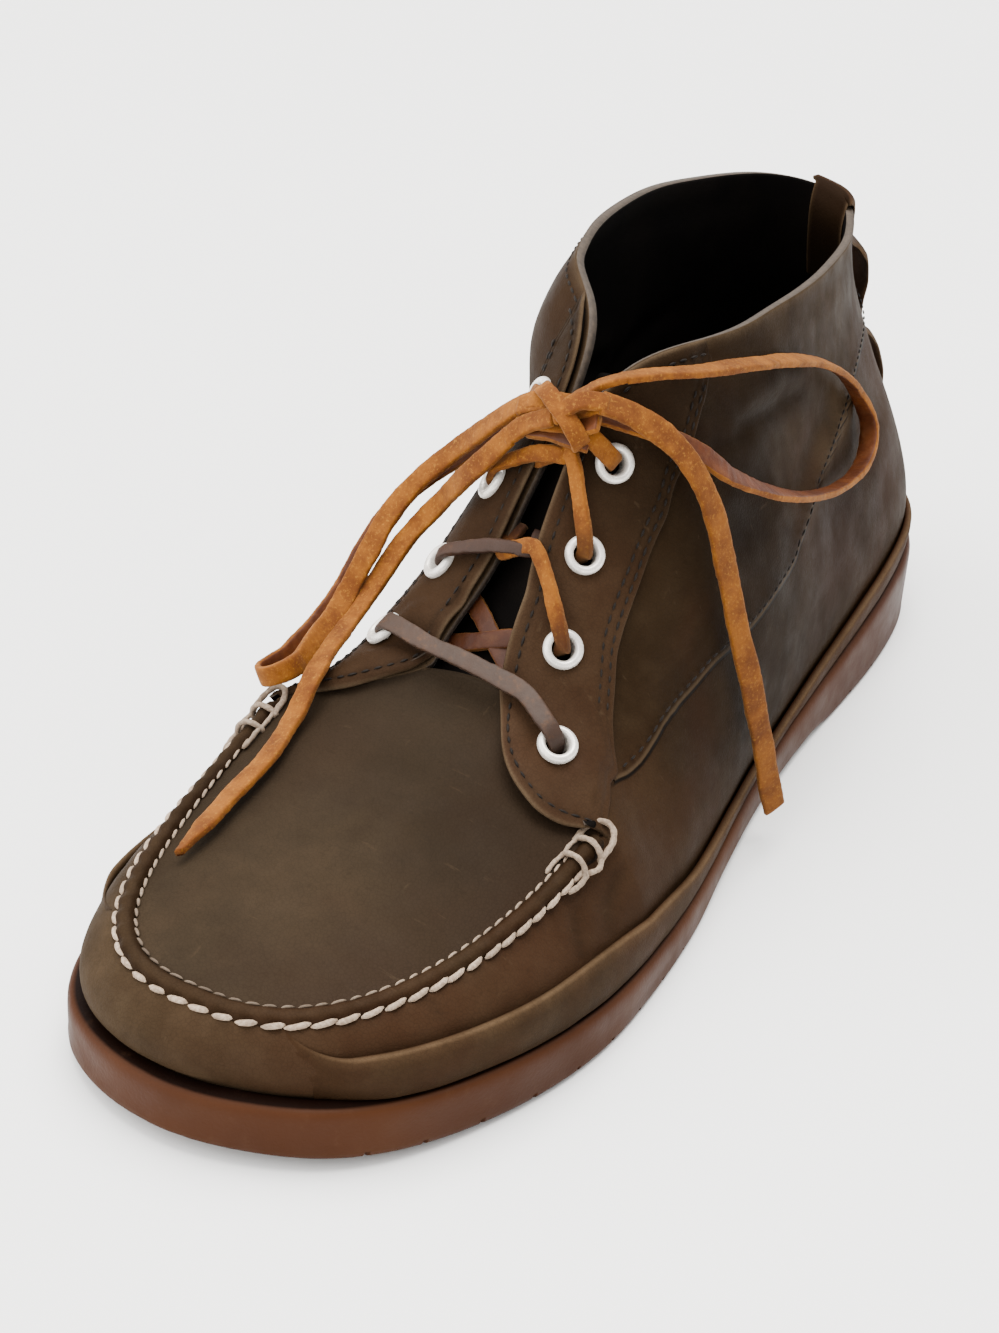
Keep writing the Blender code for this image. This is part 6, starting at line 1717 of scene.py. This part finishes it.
def lace_piece(name, strands, node=None, sharp=None):
    parts, attrs = [], {"grain": [], "grey": [], "shade": []}
    for v, f, a, _ in strands:
        parts.append((v, f))
        for k in attrs:
            attrs[k].append(a[k])
    v, f = joined(parts)
    return make(name, v, f, LACE, attrs={k: np.concatenate(x) for k, x in attrs.items()}, node=node)


def leaving(c, n, towards, out=5.6):
    d = towards - c
    d = unit(d - n * (d @ n))
    top = c + n * ABOVE["eyelet"]
    return top, top + d * out


def from_hole(c, n, towards, seed):
    """The strand comes up through the eyelet's far side, then bends over its rim towards the next point."""
    d = towards - c
    d = unit(d - n * (d @ n))
    pts = [c - n * 5.2 - d * 0.2, c - n * 1.4 - d * 0.05, c + n * 0.8 + d * 0.45, c + n * 2.15 + d * 2.4, c + n * (ABOVE["eyelet"] - 0.15) + d * 5.4]
    nrm = [-d, -d, unit(-d + n * 0.8), unit(n - d * 0.3), n]
    return pts, nrm


def build_lacing():
    E = EYELET_AT
    # the lowest pair: under both facings, only glimpsed in the throat
    out = []
    for a, b, side, deeper, sd in (("eyelet_out_4", "eyelet_in_3", 1, 0.0, 1), ("eyelet_in_4", "eyelet_out_3", -1, LACE_PASS, 2)):
        (ca, na), (cb, nb) = E[a], E[b]
        ea, ma = edge_crossing(ca, cb, side)
        eb, mb = edge_crossing(ca, cb, -side)
        low = np.array([0.0, 0.6, 0.8]) * deeper
        pts = [ca - na * (BELOW["eyelet"] + 0.2), ea - ma * (BELOW["edge"] + 0.25) - low, eb - mb * (BELOW["edge"] + 0.25) - low, cb - nb * (BELOW["eyelet"] + 0.2)]
        out.append(strip(pts, [na, ma, mb, nb], seed=sd, shade=[(0, 0.55), (1, 0.45)]))
    lace_piece("lace_run_1", out, node="lace_cross_1")
    for name, a, b, c, d, sd in (("lace_cross_2", "eyelet_out_3", "eyelet_in_2", "eyelet_in_3", "eyelet_out_2", 11), ("lace_cross_3", "eyelet_out_2", "eyelet_in_1", "eyelet_in_2", "eyelet_out_1", 21)):
        ea, ma = edge_crossing(E[a][0], E[b][0], 1)
        eb, mb = edge_crossing(E[c][0], E[d][0], -1)
        n = unit(ma + mb)
        meet = (ea + eb) / 2 + n * (ABOVE["edge"] - 0.6)
        strands = []
        for k, (start, nxt, e, m, side) in enumerate(((a, b, ea, ma, 1), (c, d, eb, mb, -1))):
            c0, n0 = E[start]
            c1, n1 = E[nxt]
            up = e + m * ABOVE["edge"]
            pts, nrm = from_hole(c0, n0, up, sd)
            lift = n * (-1.1 if k == 0 else 0.55)
            past = meet + unit(meet - up) * 4.5 - n * (3.0 if k == 0 else 0.9)
            # beyond the crossing it dives under the other facing
            e2, m2 = edge_crossing(c0, c1, -side)
            far = e2 - m2 * (BELOW["edge"] - 1.0)
            pts += [up + lift * 0.25, meet + lift, past, far]
            twist = unit(np.cross(unit(meet - up), n))
            tip = (-1 if k else 1)
            nrm += [unit(m + twist * 0.25 * tip), unit(n + twist * 0.35 * tip), unit(n * 0.8 + twist * 0.4 * tip), m2]
            flip = 1.0 if (k == 1 and start == "eyelet_in_3") else -1.0   # flesh side out, but for the third inner one
            tilt = np.array([0.85, -0.25, 0.0]) if k == 0 else np.zeros(3)
            nrm = [unit(np.asarray(q) * flip + tilt * (1.0 if 1 < i < 7 else 0.0)) for i, q in enumerate(nrm)]
            strands.append(strip(pts, np.array(nrm), grey=0.75 if flip > 0 else 0.0, wide=3.4 if k == 0 else (2.9 if flip > 0 else 3.5), seed=sd + k,
                                shade=[(0, 0.9), (0.20, 0.5), (0.30, 0.40 if flip > 0 else 0.0), (0.80, 0.45 if flip > 0 else 0.0), (0.92, 0.7), (1, 0.9)]))
        lace_piece(name + "_fine", strands, node=name)
    # bar over the tongue from side to side
    (ca, na), (cb, nb) = E["eyelet_in_4"], E["eyelet_out_4"]
    (ea, ma), (eb, mb) = edge_crossing(ca, cb, -1), edge_crossing(ca, cb, 1)
    oa, ob = ea + ma * (ABOVE["edge"] + 0.6), eb + mb * (ABOVE["edge"] + 0.6)
    pa, qa = from_hole(ca, na, oa, 31)
    pb, qb = from_hole(cb, nb, ob, 32)
    lace_piece("lace_bar_fine", [strip(pa + [oa, ob] + pb[::-1], qa + [ma, mb] + qb[::-1], wide=4.1, thick=1.3, seed=31, grey=0.85, shade=[(0, 0.8), (0.14, 0.3), (0.2, 0), (0.8, 0), (0.86, 0.3), (1, 0.8)])], node="lace_bar")


ROUTES = {
    # x, f, z, then the way the grain side faces
    "lace_loop_out": [
        (10.4, 162.0, 111.6, 0.1, 0.1, -1.0), (14.3, 157.9, 111.9, 0.0, 0.1, -1.0), (21.1, 145.4, 110.2, -0.1, 0.2, -1.0), (25.8, 127.3, 106.7, -0.2, 0.3, -0.95),
        (26.8, 102.0, 98.5, -0.2, 0.5, -0.9), (26.8, 82.0, 88.8, -0.2, 0.7, -0.8), (27.2, 67.8, 77.9, -0.1, 0.95, -0.4), (29.2, 62.4, 68.4, 0.0, 1.0, 0.15),
        (31.6, 67.6, 63.1, -0.2, 0.7, 0.75), (33.4, 80.8, 62.4, -0.3, 0.2, 0.95), (34.7, 101.0, 67.1, -0.15, -0.3, 0.95), (35.5, 122.5, 75.5, 0.15, -0.3, 0.95),
        (33.5, 136.0, 82.1, 0.45, -0.2, 0.9), (30.4, 145.9, 88.2, 0.6, 0.1, 0.8), (25.8, 152.7, 94.6, 0.65, 0.3, 0.7), (19.2, 158.6, 99.6, 0.5, 0.4, 0.75), (11.9, 163.4, 102.4, 0.3, 0.5, 0.8),
    ],
    "lace_end_out": [
        (9.6, 170.0, 108.6, 0.1, 0.6, 0.8), (15.5, 165.5, 105.6, 0.3, 0.6, 0.75), (22.2, 161.6, 100.2, 0.5, 0.5, 0.7), (27.9, 158.6, 92.7, 0.7, 0.35, 0.55),
        (31.8, 156.3, 82.8, 0.80, 0.35, 0.4), (35.1, 155.1, 71.6, 0.84, 0.35, 0.3), (37.7, 154.5, 62.1, 0.82, 0.42, 0.2), (40.5, 153.2, 52.2, 0.80, 0.46, 0.2),
        (43.5, 151.0, 39.9, 0.80, 0.48, 0.2), (46.1, 147.4, 24.7, 0.80, 0.50, 0.2), (48.6, 143.6, 9.2, 0.78, 0.52, 0.2),
    ],
    "lace_loop_in": [
        (-9.6, 168.6, 102.4, -0.3, 0.5, 0.6), (-18.7, 167.7, 93.8, -0.3, 0.6, 0.5), (-26.8, 167.3, 85.2, -0.2, 0.7, 0.5), (-33.1, 170.4, 78.0, -0.1, 0.8, 0.5), (-36.7, 175.5, 70.8, 0.0, 0.7, 0.6),
        (-38.2, 182.6, 62.7, 0.15, 0.6, 0.7), (-38.8, 190.4, 55.0, 0.35, 0.3, 0.85), (-37.0, 209.0, 49.9, 0.85, -0.1, 0.45), (-36.9, 211.5, 49.9, 0.85, 0.25, 0.40), (-38.0, 213.7, 49.3, 0.60, 0.70, 0.30),
        (-39.8, 215.0, 48.3, 0.25, 0.95, 0.10), (-42.0, 215.1, 47.1, -0.20, 0.97, -0.15), (-43.9, 213.9, 46.0, -0.60, 0.75, -0.30), (-45.0, 211.8, 45.3, -0.85, 0.30, -0.45), (-45.1, 209.3, 45.3, -0.90, -0.10, -0.42),
        (-44.0, 204.0, 46.2, -0.85, -0.15, -0.50), (-43.2, 190.6, 50.2, -0.7, -0.3, -0.6),
        (-41.8, 181.6, 57.6, -0.5, -0.5, -0.6), (-40.0, 173.6, 66.2, -0.4, -0.6, -0.6),
        (-36.4, 167.6, 73.6, -0.3, -0.7, -0.6), (-29.8, 163.6, 80.6, -0.2, -0.7, -0.6), (-21.0, 163.2, 89.2, -0.2, -0.7, -0.6), (-12.4, 165.0, 96.6, -0.2, -0.7, -0.6),
    ],
    "lace_end_in": [
        (-10.0, 172.6, 96.4, 0.0, -0.7, -0.6), (-18.2, 174.2, 85.9, 0.0, -0.7, -0.6), (-27.0, 171.6, 74.6, 0.0, -0.7, -0.6), (-32.3, 177.4, 65.4, 0.1, -0.7, -0.6), (-34.6, 184.4, 57.8, 0.1, -0.6, -0.7),
        (-34.9, 191.8, 53.6, 0.2, -0.4, -0.85), (-33.4, 203.0, 51.6, 0.3, -0.2, -0.9), (-31.4, 214.0, 49.4, 0.3, -0.3, -0.9), (-30.2, 222.0, 44.6, 0.3, -0.3, -0.9), (-28.6, 235.0, 41.6, 0.3, -0.2, -0.9),
        (-28.9, 246.6, 39.0, 0.3, -0.2, -0.9), (-28.7, 256.7, 37.2, 0.3, -0.2, -0.9), (-28.4, 265.3, 35.6, 0.3, -0.2, -0.9),
    ],
}
SHADES = {
    "lace_loop_out": [(0, 0.0), (1, 0.0)], "lace_end_out": [(0, 0.05), (0.45, 0.12), (1, 0.24)],
    "lace_loop_in": [(0, 0.0), (1, 0.0)], "lace_end_in": [(0, 0.0), (1, 0.0)],
}


# which side is out: -1 turns the suede side outward
FACING = {"lace_loop_out": 1.0, "lace_end_out": -1.0, "lace_loop_in": -1.0, "lace_end_in": 1.0}
WIDTHS = {"lace_loop_out": 4.5, "lace_end_out": 5.3, "lace_loop_in": 4.8, "lace_end_in": 4.8}


def build_cords():
    out = {}
    for k, (name, rows) in enumerate(ROUTES.items()):
        rows = np.array(rows, float)
        loop = name.startswith("lace_loop")
        strand = strip(rows[:, :3], rows[:, 3:] * FACING[name], wide=WIDTHS[name], seed=40 + k, cut=0.0 if loop else 0.5, taper=0.0 if name != "lace_end_in" else 9.0, shade=SHADES[name])
        ob = lace_piece(name + "_fine", [strand], node=name)
        path = world(strand[3])
        length = float(np.linalg.norm(np.diff(path, axis=0), axis=1).sum())
        out[name] = round(length * 1000, 1)
    return out


def build_knot():
    c = np.array([0.5, 170.4, 102.8])
    X, S, N = np.array([1.0, 0, 0]), np.array([0, 0.8, -0.6]), np.array([0, 0.6, 0.8])
    at = lambda x, s, n: c + X * x + S * s + N * n
    strands = []
    # the wrap over the front, from above on the inner side down to the outer side and round behind
    turns = []
    for t in np.linspace(-0.30, 1.25, 15):
        a = math.pi * t
        turns.append((-math.cos(a), math.sin(a)))
    pts = [at(6.6 * x + 0.2, 4.6 * x - 0.4, 4.55 * n + 0.2) for x, n in turns]
    nrm = [-(X * x * 0.8 + S * x * 0.45 + N * n) for x, n in turns]
    strands.append(strip(pts, nrm, wide=4.0, thick=1.6, seed=51))
    # bundle through it
    strands.append(strip([at(-10.5, -0.5, -1.4), at(-5.5, -1.6, 0.6), at(0, -1.2, 1.6), at(5.5, -2.6, 2.4), at(9.5, -4.4, 3.6)], [-N, -N, unit(-N + S * 0.3), -N, -N], seed=52, wide=4.4))
    strands.append(strip([at(-10.2, 1.8, -3.2), at(-5.0, 1.6, -0.6), at(0.5, 1.2, 0.4), at(5.5, 0.6, 0.8), at(9.4, -0.4, 2.4)], [-N, -N, unit(-N - S * 0.3), N, N], seed=53, wide=4.4))
    strands.append(strip([at(-8.0, -3.2, -2.4), at(-3.0, -3.4, -0.4), at(1.5, -3.2, 1.0), at(6.5, -4.6, 2.2)], [-N, -N, -N, -N], seed=54, wide=4.2))
    strands.append(strip([at(-6.5, 3.0, -2.8), at(-1.0, 3.0, -1.4), at(4.0, 3.6, -1.0), at(8.0, 3.2, -1.6)], [N, N, N, N], seed=55, wide=4.2, shade=[(0, 0.4), (1, 0.1)]))
    # each free strand runs on into the knot
    for i, (name, first) in enumerate((("lace_loop_out", True), ("lace_loop_out", False), ("lace_end_out", True), ("lace_loop_in", True), ("lace_loop_in", False), ("lace_end_in", True))):
        rows = np.array(ROUTES[name], float)
        rows = rows if first else rows[::-1]
        p0, n0 = rows[0, :3], unit(rows[0, 3:]) * FACING[name]
        d0 = unit(rows[0, :3] - rows[1, :3])
        goal = c + N * (1.4 + 0.9 * (i % 3)) + S * (1.5 * (i % 3 - 1))
        mid = p0 + d0 * 4.5
        mid = mid * 0.62 + (p0 * 0.45 + goal * 0.55) * 0.38
        strands.append(strip([p0 - d0 * 1.2, p0 + d0 * 0.4, mid, goal], [n0, n0, n0, unit(n0 * 0.6 + N * (0.4 if n0 @ N > 0 else -0.4))], seed=60 + i))
    # where the bundle leaves the top pair of eyelets
    for name, x, s, n in (("eyelet_out_1", 7.2, 1.6, -0.6), ("eyelet_in_1", -6.2, -2.6, -0.8)):
        e, m = EYELET_AT[name]
        goal = at(x, s, n)
        p, q = from_hole(e, m, goal, 56)
        p = p[:4]
        q = q[:4]
        strands.append(strip(p + [goal, at(x * 0.2, s * 0.6, n)], [-k for k in q] + [-N, -N], wide=4.0, seed=57, shade=[(0, 0.9), (0.3, 0.3), (0.4, 0.0), (1, 0.0)]))
    lace_piece("lace_knot_wraps", strands, node="lace_knot")


# ================================================================ assembly
build_upper()
build_ridge()
build_seam_thread()
build_stay(1)
build_stay(-1)
dark = stay_stitches() + quarter_stitches() + collar_stitches()
build_eyelets()
build_rand()
build_sole()
build_insole()
build_tongue()
dark += build_pull()
v, f = joined(dark)
make("stitching_brown", v, f, THREAD_DARK)
build_lacing()
CORD_LENGTHS = build_cords()
build_knot()

# ================================================================ floor, light, camera
bpy.ops.mesh.primitive_plane_add(size=9.0, location=(0, 0, 0))
floor = bpy.context.object
floor.name = "studio_floor"
floor.data.materials.append(FLOOR)

world_tree = bpy.context.scene.world or bpy.data.worlds.new("studio")
bpy.context.scene.world = world_tree
world_tree.use_nodes = True
bg = world_tree.node_tree.nodes.get("Background")
bg.inputs["Color"].default_value = (1.0, 1.0, 1.0, 1.0)
bg.inputs["Strength"].default_value = 1.15


def sun(name, towards, height, strength, spread, color=(1, 1, 1)):
    """Wide soft light from a heading on the floor plan and a height in degrees."""
    d = bpy.data.lights.new(name, "SUN")
    d.energy, d.angle, d.color = strength, math.radians(spread), color
    o = bpy.data.objects.new(name, d)
    bpy.context.scene.collection.objects.link(o)
    h = Vector((towards[0], towards[1], 0)).normalized() * math.cos(math.radians(height)) + Vector((0, 0, math.sin(math.radians(height))))
    o.rotation_euler = (-h).to_track_quat("-Z", "Y").to_euler()
    o.location = h * 2.0
    return o


sun("window", (-0.10, 0.98), 78, 7.0, 50, (1.0, 0.985, 0.96))
sun("sky_left", (-0.62, -0.78), 38, 5.6, 90, (1.0, 0.99, 0.97))

a, e, roll = math.radians(34.3), math.radians(28.92), math.radians(0.65)
back = Vector((math.sin(a) * math.cos(e), -math.cos(a) * math.cos(e), math.sin(e)))
right = Vector((math.cos(a), math.sin(a), 0))
up = back.cross(right)
rr = math.cos(roll) * right + math.sin(roll) * up
uu = -math.sin(roll) * right + math.cos(roll) * up
place = Vector((-119.47, 37.56, 0)) + back * 707.16
# same viewpoint, turned and drawn in on the one boot
ahead = (-back * 1925.75 + rr * 192 - uu * 60).normalized()
rr = (rr - ahead * rr.dot(ahead)).normalized()
back = -ahead
uu = back.cross(rr)
place.x -= MIDDLE_X
place.y -= 0.4445
cam_data = bpy.data.cameras.new("photo_camera")
cam_data.sensor_fit, cam_data.sensor_height, cam_data.lens = "VERTICAL", 36.0, 1.40 * 1925.75 / 1333 * 36
cam_data.clip_start, cam_data.clip_end = 0.01, 50
cam = bpy.data.objects.new("photo_camera", cam_data)
bpy.context.scene.collection.objects.link(cam)
m = Matrix((rr, uu, back)).transposed().to_4x4()
m.translation = place * MM
cam.matrix_world = m
bpy.context.scene.camera = cam

bpy.context.view_layer.update()
